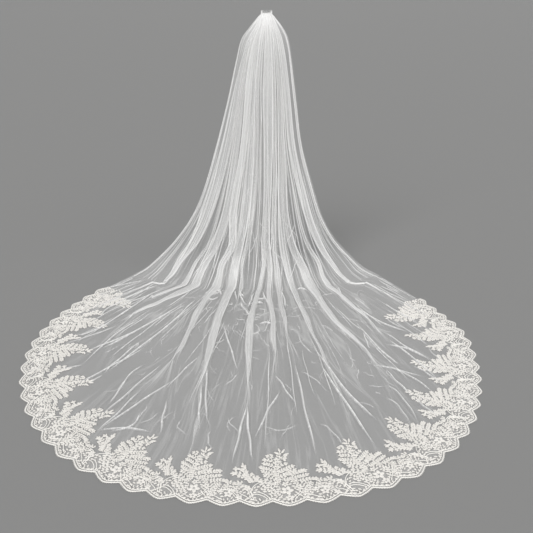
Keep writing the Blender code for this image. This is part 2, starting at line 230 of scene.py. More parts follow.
def unit(vectors):
    """Vectors divided by their lengths."""
    return vectors / np.maximum(np.linalg.norm(vectors, axis=-1, keepdims=True), 1e-12)


BASE_POINTS, BASE_DEPTH = base_surface(np.linspace(-1.0, 1.0, BASE_COLUMNS + 1))
BASE_NORMAL = unit(np.cross(np.gradient(BASE_POINTS, axis=0), np.gradient(BASE_POINTS, axis=1)))


def wander(seed, down, across, cells_down, cells_across):
    """Smooth value noise from -1 to 1: random numbers on a coarse grid, blended with a cosine."""
    grid = np.random.default_rng(seed).uniform(-1.0, 1.0, (cells_down + 2, cells_across + 2))
    v = np.clip(down, 0.0, 1.0) * cells_down
    u = np.clip(across, 0.0, 1.0) * cells_across
    i, j = v.astype(int), u.astype(int)
    a = (1 - np.cos(np.pi * (v - i))) / 2
    b = (1 - np.cos(np.pi * (u - j))) / 2
    return ((grid[i, j] * (1 - a) + grid[i + 1, j] * a) * (1 - b)
            + (grid[i, j + 1] * (1 - a) + grid[i + 1, j + 1] * a) * b)


def at_place(field, place):
    """Values of a field of the base columns at other places, row by row, by linear interpolation."""
    spot = np.clip((place + 1.0) / 2.0, 0.0, 1.0) * BASE_COLUMNS
    left = np.minimum(spot.astype(int), BASE_COLUMNS - 1)
    share = spot - left
    rows = np.arange(len(field))[:, None]
    if field.ndim == 3:
        share = share[..., None]
    return field[rows, left] * (1 - share) + field[rows, left + 1] * share


def tulle_surface():
    """The base surface with pleats. A pleat is a Z of three layers: its net runs to one edge, back
    to the other and on again, at depths d, 0 and -d along the base's normal. Out on the train each
    pleat opens, its three layers spreading evenly to the middle of the gaps beside it, and what is
    left of it stands up as a ridge."""
    stretch = np.linalg.norm(np.gradient(BASE_POINTS, 2.0 / BASE_COLUMNS, axis=1), axis=-1)
    rows = len(BASE_POINTS)
    run = np.concatenate([np.zeros(FALL_ROWS), TRAIN_RUN])
    level = np.where(run > 0.0, -run, BASE_POINTS[:, 0, 2] + COMB_HEIGHT)
    centres = np.stack([smooth_interp(-level, -PLEAT_LEVELS, pleat[:9]) for pleat in PLEATS], -1) / 100
    widths = np.stack([np.interp(-level, -WIDTH_LEVELS, pleat[9:14]) for pleat in PLEATS], -1) / 1000
    side, reach, rise, net, beyond = PLEATS[:, 14:].T
    pleat_spot = np.linspace(0.0, 1.0, len(PLEATS)) + 0.0 * level[:, None]
    down = np.linspace(0.0, 1.0, rows)[:, None] + 0.0 * pleat_spot
    centres = centres + 0.006 * wander(3, down, pleat_spot, 18, 40)
    kink = np.random.default_rng(8).normal(0.0, 0.020, len(PLEATS)) * (np.abs(centres[0]) < 0.6)
    centres = centres + kink * np.exp(-((level[:, None] - 0.09) / 0.07) ** 2)
    widths = widths * (1.0 + 0.30 * wander(5, down, pleat_spot, 16, 40))
    half = widths / 2 / at_place(stretch, centres)
    folded = np.clip((reach - run[:, None]) / np.where(reach > 1.2, 0.8, 0.45), 0.0, 1.0)
    folded = folded * folded * (3 - 2 * folded)
    half = half * (0.08 + 0.92 * folded)

    # Knots across each row: the panel's edges, and eight to each pleat
    ends = np.ones((rows, 1))
    low, high = centres - half, centres + half
    gap = np.concatenate([low, ends], 1) - np.concatenate([-ends, high], 1)
    across = np.stack([low - 0.12 * gap[:, :-1], low, high, high, low, low, high, high + 0.12 * gap[:, 1:]], -1)
    layer = np.stack([0 * side, side, side, 0 * side, 0 * side, -side, -side, 0 * side], -1)
    one = np.cumsum([0] + [TURN_COLUMNS, LAYER_COLUMNS] * 3 + [TURN_COLUMNS])
    open_columns = np.maximum((gap[FALL_ROWS // 2] * OPEN_COLUMNS).round().astype(int), 5)
    start = np.cumsum(open_columns)[:-1] + one[-1] * np.arange(len(PLEATS))
    last = start[-1] + one[-1] + open_columns[-1]
    knot_column = np.concatenate([[0], (start[:, None] + one).ravel(), [last]])
    middle_column = np.concatenate([[0], start + one[-1] / 2, [last]])
    flat = np.stack([np.interp(knot_column, middle_column, row)
                     for row in np.concatenate([-ends, centres, ends], 1)])
    opened = np.concatenate([0 * ends, np.repeat(folded, 8, axis=1), 0 * ends], 1)
    knot_place = np.concatenate([-ends, across.reshape(rows, -1), ends], 1)
    knot_place = flat + (knot_place - flat) * opened
    column = np.arange(last + 1)

    def along_row(knot_values, rounds):
        """Straight lines through each row's knots, smoothed by rounds of (1/4, 1/2, 1/4)."""
        values = np.stack([np.interp(column, knot_column, row) for row in knot_values])
        for _ in range(rounds):
            padded = np.pad(values, ((0, 0), (1, 1)), mode="edge")
            values = padded[:, :-2] * 0.25 + values * 0.5 + padded[:, 2:] * 0.25
        return values

    place = along_row(knot_place, 2)
    place[:, 0], place[:, -1] = -1.0, 1.0
    on_surface = at_place(BASE_POINTS, place)
    outwards = unit(at_place(BASE_NORMAL, place))
    fold_depth = np.concatenate([np.maximum(BASE_DEPTH, THINNEST_FOLD),
                                 FOLD_LYING * (1.4 - np.clip(TRAIN_RUN, 0, 1))])[:, None]
    lying = np.clip(1.0 - (on_surface[..., 2] + COMB_HEIGHT) / BREAK_HEIGHT, 0.0, 1.0)
    fold_depth = fold_depth * (1.0 - lying) + np.minimum(fold_depth, PRESSED_FOLD) * lying
    offset = along_row(np.concatenate([[0.0], layer.ravel(), [0.0]]) * opened, 1)
    inside = along_row(opened, 1)
    lift = fold_depth * (offset + lying * inside) * (1.0 - EDGE_CALM * place ** 2)

    # Small waves between the folds, and low ridges where the pleats stand up on the train
    down = np.linspace(0.0, 1.0, rows)[:, None] + 0.0 * column
    spot = column / last + 0.0 * down
    ripple = np.sin(2 * np.pi * (column / 7.0 + 1.2 * wander(11, down, spot, 8, 60)))
    size = 0.5 + 0.5 * wander(13, down, spot, 6, 70)
    lift = lift + np.clip(down * 12.0, 0.0, 1.0) * size * (0.0020 * ripple * (1.0 - lying)
                                                           + 0.0010 * (1.0 + ripple) * lying)
    nearest = np.abs(place[..., None] - centres[:, None, :]) / (1.3 * half[:, None, :])
    ridge = (np.clip(1.0 - nearest ** 2, 0.0, 1.0) * (rise / 1000 * folded)[:, None, :]).max(axis=-1)
    points = on_surface + outwards * lift[..., None]
    points[..., 2] += ridge * lying
    points[..., 2] = np.maximum(points[..., 2], -COMB_HEIGHT) + TULLE_WALL / 2

    # Thicknesses of net: the tables', then more where the net stands edge on to the base surface
    knot_net = np.stack([np.concatenate([[1.0], beyond[:-1]])] + [net] * 6 + [beyond], -1).ravel()
    table_net = along_row(np.concatenate([[1.0], knot_net, [beyond[-1]]]) + 0.0 * ends, 1)
    facing = unit(np.cross(np.gradient(points, axis=0), np.gradient(points, axis=1)))
    square_on = np.abs((facing * outwards).sum(-1))
    edge_on = np.clip(1.0 / np.maximum(square_on, 0.25), 1.0, 4.0 - 2.0 * lying)
    height = points[..., 2] + COMB_HEIGHT
    evenness = np.clip((height - 1.0) / 0.25, 0.0, 0.7)

    # The two turns of each pleat show as bright edges
    turning = np.zeros(last + 1)
    ramp = [one[2] - 1.4, one[2], one[3], one[3] + 1.4, one[4] - 1.4, one[4], one[5], one[5] + 1.4]
    for first in start:
        turning[first:first + one[-1] + 1] = np.interp(np.arange(one[-1] + 1), ramp, [0, 1, 1, 0, 0, 1, 1, 0])
    turning = turning * along_row(opened, 0)
    hanging = table_net ** (1.0 - evenness) * np.interp(height, GATHER[:, 0], GATHER[:, 1])
    hanging = hanging * (0.58 + 2.1 * turning + 0.32 * size * (1.0 + ripple))
    spread = 1.0 + 0.3 * inside + 0.6 * ridge / 0.016 + 2.2 * turning
    thicknesses = (hanging * (1.0 - lying) + spread * lying) * edge_on
    return points, place, thicknesses


def grid_faces(rows, columns):
    """Four-sided faces between neighbouring rows and columns of points."""
    index = np.arange(rows * columns).reshape(rows, columns)
    return np.stack([index[:-1, :-1], index[1:, :-1], index[1:, 1:], index[:-1, 1:]], -1).reshape(-1, 4)


def new_piece(name, points, faces, material):
    """A smooth mesh object at the origin from arrays of points and equally sided faces."""
    points = points.reshape(-1, 3)
    mesh = bpy.data.meshes.new(name)
    mesh.vertices.add(len(points))
    mesh.vertices.foreach_set("co", np.asarray(points, dtype=np.float32).ravel())
    mesh.loops.add(faces.size)
    mesh.loops.foreach_set("vertex_index", faces.astype(np.int32).ravel())
    mesh.polygons.add(len(faces))
    mesh.polygons.foreach_set("loop_start", np.arange(len(faces), dtype=np.int32) * faces.shape[1])
    mesh.update(calc_edges=True)
    mesh.validate()
    mesh.shade_smooth()
    mesh.materials.append(material)
    piece = bpy.data.objects.new(name, mesh)
    bpy.context.scene.collection.objects.link(piece)
    return piece


def set_net_values(piece, thicknesses, across_cut, down_cut):
    """What the net's material reads at each point: thicknesses of net and place on the cut panel."""
    values = np.broadcast_arrays(thicknesses, across_cut, down_cut)
    for name, value in zip(("layers", "fold", "run_down"), values):
        attribute = piece.data.attributes.new(name, "FLOAT", "POINT")
        attribute.data.foreach_set("value", value.astype(np.float32).ravel())


def math_node(nodes, links, operation, a, b=None, clamp=False):
    """The output of one sum on two numbers or sockets."""
    node = nodes.new("ShaderNodeMath")
    node.operation = operation
    node.use_clamp = clamp
    for socket, value in zip(node.inputs, (a, b)):
        if value is None:
            continue
        if isinstance(value, (int, float)):
            socket.default_value = value
        else:
            links.new(value, socket)
    return node.outputs[0]


NET_COVER = 0.16                 # share of the light that one layer of net stops

tulle_net, nodes, links, shader = new_material("tulle_net", {
    "Base Color": (0.92, 0.918, 0.91, 1.0), "Roughness": 0.85, "Specular IOR Level": 0.25,
    "Sheen Weight": 0.25, "Sheen Roughness": 0.4})
layers, fold, run_down = [nodes.new("ShaderNodeAttribute") for _ in range(3)]
layers.attribute_name, fold.attribute_name, run_down.attribute_name = "layers", "fold", "run_down"
place_on_cloth = nodes.new("ShaderNodeCombineXYZ")
links.new(math_node(nodes, links, "MULTIPLY", fold.outputs["Fac"], 55.0), place_on_cloth.inputs[0])
links.new(math_node(nodes, links, "MULTIPLY", run_down.outputs["Fac"], 1.1), place_on_cloth.inputs[1])
streaks = nodes.new("ShaderNodeTexNoise")
streaks.inputs["Scale"].default_value = 1.0
streaks.inputs["Detail"].default_value = 3.0
links.new(place_on_cloth.outputs[0], streaks.inputs["Vector"])
thin = math_node(nodes, links, "ABSOLUTE", math_node(nodes, links, "SUBTRACT", streaks.outputs["Fac"], 0.5))
thin = math_node(nodes, links, "SUBTRACT", 1.0, math_node(nodes, links, "MULTIPLY", thin, 28.0), clamp=True)
stack = math_node(nodes, links, "MULTIPLY", layers.outputs["Fac"],
                  math_node(nodes, links, "ADD", 1.0, math_node(nodes, links, "MULTIPLY", thin, 0.9)))
open_share = math_node(nodes, links, "POWER", 1.0 - NET_COVER, stack)
cover = math_node(nodes, links, "SUBTRACT", 1.0, open_share, clamp=True)
links.new(cover, shader.inputs["Alpha"])

tulle_points, tulle_place, thicknesses = tulle_surface()
tulle = new_piece("tulle", tulle_points, grid_faces(*tulle_points.shape[:2]), tulle_net)
steps_down = np.linalg.norm(np.diff(tulle_points, axis=0, prepend=tulle_points[:1]), axis=-1)
set_net_values(tulle, np.clip(thicknesses, 0.3, 9.0), tulle_place[-1] * PANEL_WIDTH / 2,
               np.cumsum(steps_down, axis=0))
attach(tulle, "root")
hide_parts("tulle_panel")


# Creases: narrow pinched folds of the same net that stand up where it lies on the floor. The main
# ones lie where the photograph shows them, and small ones are scattered, many at the fall's foot.
CREASES = np.array((             # three points in pixels of the photograph, height and half width in mm
    (222, 322, 230, 347, 238, 372, 6, 6), (238, 374, 232, 381, 224, 386, 4, 5),
    (200, 356, 183, 372, 166, 390, 5, 6), (178, 378, 140, 403, 100, 430, 6, 6),
    (168, 399, 163, 418, 161, 435, 6, 6), (203, 380, 200, 405, 199, 428, 6, 6),
    (208, 355, 206, 390, 207, 425, 7, 6), (247, 404, 240, 433, 232, 465, 7, 6),
    (247, 404, 249, 435, 253, 462, 8, 6), (281, 391, 268, 412, 255, 440, 6, 6),
    (275, 375, 284, 388, 297, 407, 6, 5), (295, 362, 305, 410, 317, 458, 7, 6),
    (318, 362, 345, 402, 377, 449, 8, 6), (310, 342, 345, 390, 378, 421, 9, 6),
    (331, 303, 350, 322, 363, 331, 5, 5), (363, 331, 367, 343, 370, 350, 4, 5),
    (352, 318, 380, 350, 400, 365, 6, 6), (127, 377, 118, 392, 109, 406, 5, 5),
    (200, 300, 155, 337, 104, 375, 9, 6), (190, 300, 140, 330, 100, 350, 8, 6),
    (165, 362, 130, 392, 100, 418, 6, 6), (95, 431, 128, 429, 150, 433, 5, 7),
    (240, 300, 247, 311, 254, 318, 4, 5), (250, 300, 256, 302, 263, 301, 4, 5),
    (262, 330, 255, 334, 247, 337, 4, 5), (230, 285, 222, 292, 204, 297, 5, 5),
    (345, 300, 375, 320, 410, 333, 7, 6), (373, 365, 395, 370, 425, 378, 5, 6),
    (330, 283, 338, 290, 343, 303, 5, 5), (160, 278, 130, 284, 98, 290, 5, 5),
    (180, 278, 140, 293, 105, 311, 7, 6), (275, 300, 268, 325, 262, 332, 4, 5),
    (232, 330, 240, 335, 247, 342, 3, 4), (385, 345, 408, 350, 430, 361, 6, 6),
    (300, 372, 312, 378, 325, 389, 4, 5), (262, 425, 280, 431, 300, 424, 3, 5),
    (183, 420, 178, 428, 190, 436, 3, 5), (120, 325, 95, 335, 62, 345, 5, 6),
    (150, 345, 110, 368, 75, 385, 6, 6), (345, 340, 352, 360, 350, 372, 3, 4),
    (320, 425, 332, 432, 345, 450, 4, 5), (212, 430, 208, 440, 213, 450, 3, 5),
    (262, 350, 250, 352, 240, 350, 3, 4), (160, 412, 150, 420, 138, 424, 3, 5),
    (297, 330, 303, 345, 315, 355, 4, 5), (145, 299, 113.5, 306, 99, 320.7, 6, 5),
    (145, 317, 115, 336, 83.6, 365, 7, 5), (83.6, 365, 72, 368, 62, 369, 5, 5),
    (145, 339, 118, 361, 103.6, 375, 7, 5), (103.6, 375, 96, 380, 89, 383.6, 5, 5),
    (145, 365, 128, 378, 112, 405, 6, 5), (145, 386, 118, 413.6, 95, 433.6, 6, 5),
    (140.7, 410.7, 132, 426, 109, 432, 6, 5), (145, 298, 100.7, 328, 76, 335, 7, 5),
    (143.6, 328, 118, 340, 86, 352, 7, 5), (385, 303.6, 396.4, 312, 420.7, 323.6, 6, 5),
    (385, 315.7, 392, 323.6, 406.4, 329.3, 5, 5), (385, 332, 402, 345, 432, 360.7, 6, 5),
    (385, 337.9, 413.6, 359.3, 440.7, 383.6, 7, 5), (412, 366, 426.4, 373.6, 442, 385, 5, 5),
    (385, 365, 413.6, 379.3, 433.6, 393.6, 6, 5), (385, 369.3, 398, 383.6, 412, 396.4, 8, 5),
    (413.6, 397.9, 425, 407.9, 437.9, 416.4, 6, 5), (385, 385, 403, 399, 419.3, 426.4, 6, 5),
    (385, 397.9, 399.3, 407.9, 410.7, 426.4, 5, 5), (426.4, 346.4, 433.6, 355, 442, 362, 4, 5),
    (128.6, 300.7, 145.7, 290, 160, 281, 6, 5), (121.4, 305.7, 138.6, 300, 176, 284, 6, 5),
    (110, 322, 131.4, 308.6, 157, 290, 7, 5), (152.9, 329.3, 167, 317, 190, 302, 5, 5),
    (165.7, 329.3, 184.3, 311.4, 195.7, 300, 7, 5), (162.9, 310, 181.4, 298.6, 193, 289, 6, 5),
    (201.4, 327, 210, 317, 218.6, 307, 5, 5), (204, 296.5, 211, 292.5, 219, 296, 9, 6),
    (205, 298, 212, 300.5, 219, 297, 8, 6), (218, 293, 222, 288.5, 227, 284, 9, 6),
    (219, 287, 220, 291, 221, 296, 8, 6), (240, 289, 241.5, 299, 247, 306, 10, 6),
    (243, 285, 240, 291, 244, 298, 9, 6), (240, 302, 245, 311, 253, 319, 10, 6),
    (254, 293, 251.5, 301, 248, 309, 11, 6), (254, 299, 260, 300, 267, 298.5, 9, 6),
    (250, 305, 257, 303.5, 265, 305, 9, 6), (259, 325, 266, 323.5, 272, 325, 8, 6),
    (295, 278, 302, 282, 312, 289, 9, 6), (296, 291, 302, 289.5, 308, 292, 8, 6),
    (320, 274, 329, 275.5, 336, 279, 10, 7), (336, 279, 339, 291, 349, 306, 9, 6),
    (323, 277, 330, 282.5, 338, 281, 8, 6), (226, 305, 221, 313, 215, 322, 9, 6),
    (262, 283, 264, 296, 270, 308, 10, 7), (278, 285, 283, 296, 286, 310, 10, 7),
    (231, 284, 235, 291, 236, 302, 9, 6),
), dtype=float)
SMALL_CREASES = 110              # scattered over the train
FOOT_CREASES = 80                # crowded where the fall breaks on to the floor
LONG_CREASES = 56                # along the flow of the net from the fall towards the lace
CREASE_STEPS = 24
CREASE_ACROSS = np.array((-1.0, -0.45, 0.0, 0.45, 1.0))
CREASE_RISE = np.array((0.0, 0.75, 1.0, 0.75, 0.0))
CREASE_LIFT = 0.0022
CREASE_SWAY = 0.0016             # how far a crease strays to each side of its curve
CREASE_CLEAR = 0.012             # and stays in front of the foot of the fall
SCATTER_REACH = 0.62             # small ones lie within this of the middle of the train
SCATTER_SHIFT = 0.10             # which is this far behind the hem's centre
FOOT_SPREAD = (-0.02, 0.20)      # middle and spread of the crowded ones across the train
FOOT_START = 0.36                # how far in front of the comb they begin

chance = np.random.default_rng(4)


def on_floor(across, down):
    """Where the line of sight through a point of the photograph meets the floor, in centimetres
    to the nearest millimetre: the sight's direction, times the camera's height over the floor
    divided by how steeply the sight falls."""
    tilt = math.radians(90.0 - CAMERA_TILT)
    right = (across - PICTURE_WIDTH / 2) / FOCAL_LENGTH
    up = (PICTURE_WIDTH / 2 - down) / FOCAL_LENGTH
    reach = (CAMERA_PLACE[2] - FLOOR_Z) / (math.sin(tilt) - up * math.cos(tilt))
    ahead = CAMERA_PLACE[1] + reach * (math.cos(tilt) + up * math.sin(tilt))
    return np.round(100 * np.stack([right * reach, ahead], -1), 1)


def scattered_creases(middle_x, middle_y, turned, half_length, bow, height, half_width):
    """Rows of three points in cm, height and half width in mm, from middles in metres, bearings,
    half lengths and bows sideways."""
    cx, sx = np.cos(turned), np.sin(turned)
    return np.stack([100 * (middle_x - half_length * cx), 100 * (middle_y - half_length * sx),
                     100 * (middle_x - bow * sx), 100 * (middle_y + bow * cx),
                     100 * (middle_x + half_length * cx), 100 * (middle_y + half_length * sx),
                     height, half_width], -1)


def down_train(x, y, spread):
    """Bearings away from the foot of the fall, strayed from by a normal spread."""
    return np.arctan2(y + 0.05, x) + chance.normal(0.0, spread, x.size)


bearing = chance.uniform(0.0, 2 * np.pi, SMALL_CREASES)
radius = SCATTER_REACH * np.sqrt(chance.uniform(0.0, 1.0, SMALL_CREASES))
small_x = HEM_CENTRE[0] + radius * np.cos(bearing)
small_y = HEM_CENTRE[1] + SCATTER_SHIFT + radius * np.sin(bearing)
small = scattered_creases(small_x, small_y, down_train(small_x, small_y, 0.4),
                          chance.uniform(0.015, 0.06, SMALL_CREASES), chance.normal(0.0, 0.012, SMALL_CREASES),
                          chance.uniform(1.8, 3.6, SMALL_CREASES), chance.uniform(2.2, 4.0, SMALL_CREASES))
foot_x = chance.normal(*FOOT_SPREAD, FOOT_CREASES)
foot_y = (-FOOT_START - np.abs(chance.normal(0.0, FOOT_SPREAD[1], FOOT_CREASES))
          - 0.10 * (1 - (foot_x / 0.3) ** 2).clip(0, 1))
crumpled = scattered_creases(foot_x, foot_y, down_train(foot_x, foot_y, 0.8),
                             chance.uniform(0.015, 0.05, FOOT_CREASES), chance.normal(0.0, 0.014, FOOT_CREASES),
                             chance.uniform(2.5, 5.0, FOOT_CREASES), chance.uniform(2.2, 4.2, FOOT_CREASES))

# Long ones follow the panel's own lines down the train and a little way on to the flat rim
flow_place = np.linspace(-1.0, 1.0, LONG_CREASES)
flow_place = 0.97 * np.sign(flow_place) * np.abs(flow_place) ** 0.7
flow_place += chance.uniform(-0.012, 0.012, LONG_CREASES)
flow_lines = BASE_POINTS[FALL_ROWS - 1:, :, :2]
flow_run = np.concatenate([[0.0], TRAIN_RUN])
flow_column = np.round((flow_place + 1) / 2 * BASE_COLUMNS).astype(int)
flow_start = np.where(np.abs(flow_place) > 0.62, 0.9, 0.0) + chance.uniform(0.02, 0.50, LONG_CREASES)
flow_end = np.minimum(flow_start + chance.uniform(0.25, 0.65, LONG_CREASES), 1.75)
flow_knots = []
for share in (0.0, 0.5, 1.0):
    at_run = flow_start + (flow_end - flow_start) * share
    for axis in (0, 1):
        flow_knots.append(100 * np.array([np.interp(a, flow_run, flow_lines[:, c, axis])
                                          for a, c in zip(at_run, flow_column)]))
flow_knots[2] += chance.normal(0.0, 1.0, LONG_CREASES)
flow_knots[3] += chance.normal(0.0, 1.0, LONG_CREASES)
long_ones = np.stack(flow_knots + [chance.uniform(3.0, 6.0, LONG_CREASES),
                                   chance.uniform(2.4, 4.4, LONG_CREASES)], -1)
main_ones = np.concatenate([on_floor(CREASES[:, 0:6:2], CREASES[:, 1:6:2]).reshape(-1, 6), CREASES[:, 6:]], 1)
crease_table = np.concatenate([main_ones, small, crumpled, long_ones])


def crease_curves(table, t):
    """Parabola through a row's three points at t = 0, 1/2 and 1, with a slow sine sway in x and y."""
    p, q, r = [table[:, None, 2 * k:2 * k + 2] / 100 for k in range(3)]
    curve = (1 - t) * (1 - 2 * t) * p + 4 * t * (1 - t) * q + t * (2 * t - 1) * r
    sway = np.concatenate([np.sin(13 * t + 90 * p[..., :1]), np.sin(11 * t + 70 * p[..., 1:])], -1)
    return curve + CREASE_SWAY * sway


def many_grids(points):
    """Faces of many equal grids whose points are stacked one after another."""
    shapes, rows, columns = points.shape[:3]
    one = grid_faces(rows, columns)
    return (one[None] + np.arange(shapes)[:, None, None] * rows * columns).reshape(-1, 4)


# No crease runs on behind the foot of the fall, where there is no net on the floor
t = np.linspace(0.0, 1.0, CREASE_STEPS + 1)[None, :, None]
whole_lines = crease_curves(crease_table, t)
foot_y = np.interp(whole_lines[..., 0], flow_lines[0, :, 0], flow_lines[0, :, 1], left=1.0, right=1.0)
on_train = whole_lines[..., 1] < foot_y - CREASE_CLEAR
kept = on_train.sum(axis=1) > 5
crease_table, on_train = crease_table[kept], on_train[kept]
first_step = on_train.argmax(axis=1)[:, None, None]
last_step = CREASE_STEPS - on_train[:, ::-1].argmax(axis=1)[:, None, None]
crease_lines = crease_curves(crease_table, (first_step + (last_step - first_step) * t) / CREASE_STEPS)
ahead = unit(np.gradient(crease_lines, axis=1))
side = np.stack([-ahead[..., 1], ahead[..., 0]], -1)
taper = np.clip(4.0 * np.minimum(t + 0.02, 1.02 - t), 0.0, 1.0) ** 0.7
spread_out = crease_table[:, None, 7:] / 1000 * taper * CREASE_ACROSS
crease_xy = crease_lines[:, :, None] + side[:, :, None] * spread_out[..., None]
crease_z = CREASE_LIFT - COMB_HEIGHT + crease_table[:, None, 6:7] / 1000 * taper * CREASE_RISE
crease_points = np.concatenate([crease_xy, crease_z[..., None]], -1)
tulle_creases = new_piece("tulle_creases", crease_points, many_grids(crease_points), tulle_net)
crest = (0.2 + 4.6 * CREASE_RISE ** 3) * np.clip(crease_table[:, None, 6:7] / 5.0, 0.35, 1.5)
set_net_values(tulle_creases, crest * taper ** 1.5, crease_lines[..., :1], crease_lines[..., 1:])
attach(tulle_creases, "root")


# Sharp narrow folds of the same net that hang between and over the pleats, some slanting ones
# crowded low down where the fall breaks, all following the panel's surface.
LONG_FOLDS = 72
SLANTING_FOLDS = 40
FOLD_STEPS = 56

chance = np.random.default_rng(17)
row_level = np.concatenate([BASE_POINTS[:FALL_ROWS, 0, 2] + COMB_HEIGHT, -TRAIN_RUN])
row_depth = np.concatenate([BASE_DEPTH, np.full(TRAIN_ROWS + RIM_ROWS, FOLD_LYING)])


def on_base(field, row, place):
    """Values of a field of the base surface between its rows and columns."""
    column = np.clip((place + 1.0) / 2.0, 0.0, 1.0) * BASE_COLUMNS
    i = np.minimum(row.astype(int), len(field) - 2)
    j = np.minimum(column.astype(int), BASE_COLUMNS - 1)
    a, b = (row - i)[..., None], (column - j)[..., None]
    return ((field[i, j] * (1 - a) + field[i + 1, j] * a) * (1 - b)
            + (field[i, j + 1] * (1 - a) + field[i + 1, j + 1] * a) * b)


def long_or_slanting(long_ones, slanting_ones):
    """One column of values, the long folds' first."""
    return np.concatenate([long_ones, slanting_ones])[:, None]


both_kinds = LONG_FOLDS + SLANTING_FOLDS
fold_place = long_or_slanting(np.linspace(-0.95, 0.95, LONG_FOLDS) + chance.uniform(-0.012, 0.012, LONG_FOLDS),
                              chance.uniform(-0.5, 0.5, SLANTING_FOLDS))
fold_top = long_or_slanting(chance.uniform(0.45, 1.22, LONG_FOLDS), chance.uniform(0.10, 0.36, SLANTING_FOLDS))
fold_foot = long_or_slanting(chance.uniform(-0.28, 0.12, LONG_FOLDS),
                             fold_top[LONG_FOLDS:, 0] - chance.uniform(0.06, 0.20, SLANTING_FOLDS))
slant = long_or_slanting(chance.normal(0.0, 0.012, LONG_FOLDS), chance.normal(0.0, 0.10, SLANTING_FOLDS))
t = np.linspace(0.0, 1.0, FOLD_STEPS)[None, :]
line_level = fold_top + (fold_foot - fold_top) * t
line_place = fold_place + slant * t + 0.005 * np.sin(8.0 * t + 40.0 * fold_place)
line_row = np.interp(-line_level, -row_level, np.arange(len(row_level)))
line_points = on_base(BASE_POINTS, line_row, line_place)
line_normal = unit(on_base(BASE_NORMAL, line_row, line_place))
line_side = unit(np.cross(unit(np.gradient(line_points, axis=1)), line_normal))
line_depth = np.interp(line_row, np.arange(len(row_depth)), row_depth)
calm = 1.0 - EDGE_CALM * line_place ** 2
stands = (chance.uniform(-0.4, 1.0, both_kinds)[:, None] * line_depth + 0.002) * calm
fold_half = chance.uniform(0.0018, 0.0040, both_kinds)[:, None, None]
fold_rise = chance.uniform(0.002, 0.006, both_kinds)[:, None, None] * calm[..., None]
fold_taper = (np.clip(5.0 * np.minimum(t, 1.0 - t), 0.0, 1.0) ** 0.8)[..., None]
out_of_net = stands[..., None] + fold_rise * fold_taper * CREASE_RISE
to_side = fold_half * (0.1 + 0.9 * fold_taper) * CREASE_ACROSS
fold_points = (line_points[:, :, None] + line_normal[:, :, None] * out_of_net[..., None]
               + line_side[:, :, None] * to_side[..., None])
fold_points[..., 2] = np.maximum(fold_points[..., 2], TULLE_WALL - COMB_HEIGHT)
tulle_folds = new_piece("tulle_folds", fold_points, many_grids(fold_points), tulle_net)
brightness = chance.uniform(0.4, 1.5, both_kinds)[:, None, None]
set_net_values(tulle_folds, (0.1 + 3.4 * CREASE_RISE ** 3) * fold_taper * brightness,
               line_place[..., None] * PANEL_WIDTH / 2, line_level[..., None])
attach(tulle_folds, "root")


# Comb: moulded clear plastic, a rounded bar with two stout milky end teeth and sixteen fine ones
# that slope up behind it. A white thread is whipped round the bar through the gathered heading.
COMB_LENGTH = 0.054
COMB_SPINE = (0.0040, 0.0050)    # the bar's depth and height
COMB_TEETH = 16
TOOTH_LENGTH = 0.038
TOOTH_LIFT = math.radians(22)
FINE_TOOTH = (0.00075, 0.00035)  # radius at the root and at the tip
END_TOOTH = (0.00190, 0.00100)
TOOTH_SAG = 0.0012
MILKY_ENDS = (0.0130, 0.0160, 0.85, 0.05)   # begins and is full from the middle, clear there and beyond
STITCHES = 17
STITCHED_HALF = 0.0225           # half the length that is sewn
STITCH_REACH = (0.0038, 0.0042)  # half the depth and half the height of a turn of thread
THREAD_RADIUS = 0.00035

# The bar: rings whose depth and height are half sizes times a signed power of cosine and sine,
# a little stouter over the end teeth and closed at both ends
bar_share = np.linspace(-1.0, 1.0, 49)[:, None]
ring = np.linspace(0.0, 2 * np.pi, 17)[None, :]
stout = 1.0 + 0.12 * np.exp(-((np.abs(bar_share) - 0.93) / 0.05) ** 2)
bar_size = np.maximum(1.0 - np.abs(bar_share) ** 30, 0.0004) ** 0.5 * stout
bar_points = np.stack([bar_share * COMB_LENGTH / 2 + 0.0 * ring,
                       COMB_SPINE[0] / 2 * bar_size * np.sign(np.cos(ring)) * np.abs(np.cos(ring)) ** 0.6,
                       COMB_SPINE[1] / 2 * bar_size * np.sign(np.sin(ring)) * np.abs(np.sin(ring)) ** 0.6], -1)

# The teeth: round, thinning to closed tips, and sagging a little below a straight line
tooth_share = np.array((0.0, 0.12, 0.25, 0.4, 0.55, 0.7, 0.85, 0.96, 1.0))[None, :, None]
tooth_close = np.array((1.0, 1.0, 1.0, 1.0, 1.0, 1.0, 0.95, 0.75, 0.05))[None, :, None]
tooth_ring = np.linspace(0.0, 2 * np.pi, 9)[None, None, :]
tooth_x = np.linspace(-1.0, 1.0, COMB_TEETH + 2)[:, None, None] * (COMB_LENGTH / 2 - END_TOOTH[0])
is_end = np.abs(tooth_x) > COMB_LENGTH / 2 - 2 * END_TOOTH[0]
tooth_root, tooth_tip = [np.where(is_end, END_TOOTH[k], FINE_TOOTH[k]) for k in (0, 1)]
tooth_radius = (tooth_root + (tooth_tip - tooth_root) * tooth_share) * tooth_close
below = TOOTH_SAG * np.sin(np.pi * tooth_share) - tooth_radius * np.sin(tooth_ring)
tooth_points = np.stack([tooth_x + tooth_radius * np.cos(tooth_ring),
                         TOOTH_LENGTH * tooth_share * math.cos(TOOTH_LIFT) + below * math.sin(TOOTH_LIFT),
                         TOOTH_LENGTH * tooth_share * math.sin(TOOTH_LIFT) - below * math.cos(TOOTH_LIFT)], -1)
tooth_faces = bar_points[..., 0].size + many_grids(tooth_points)

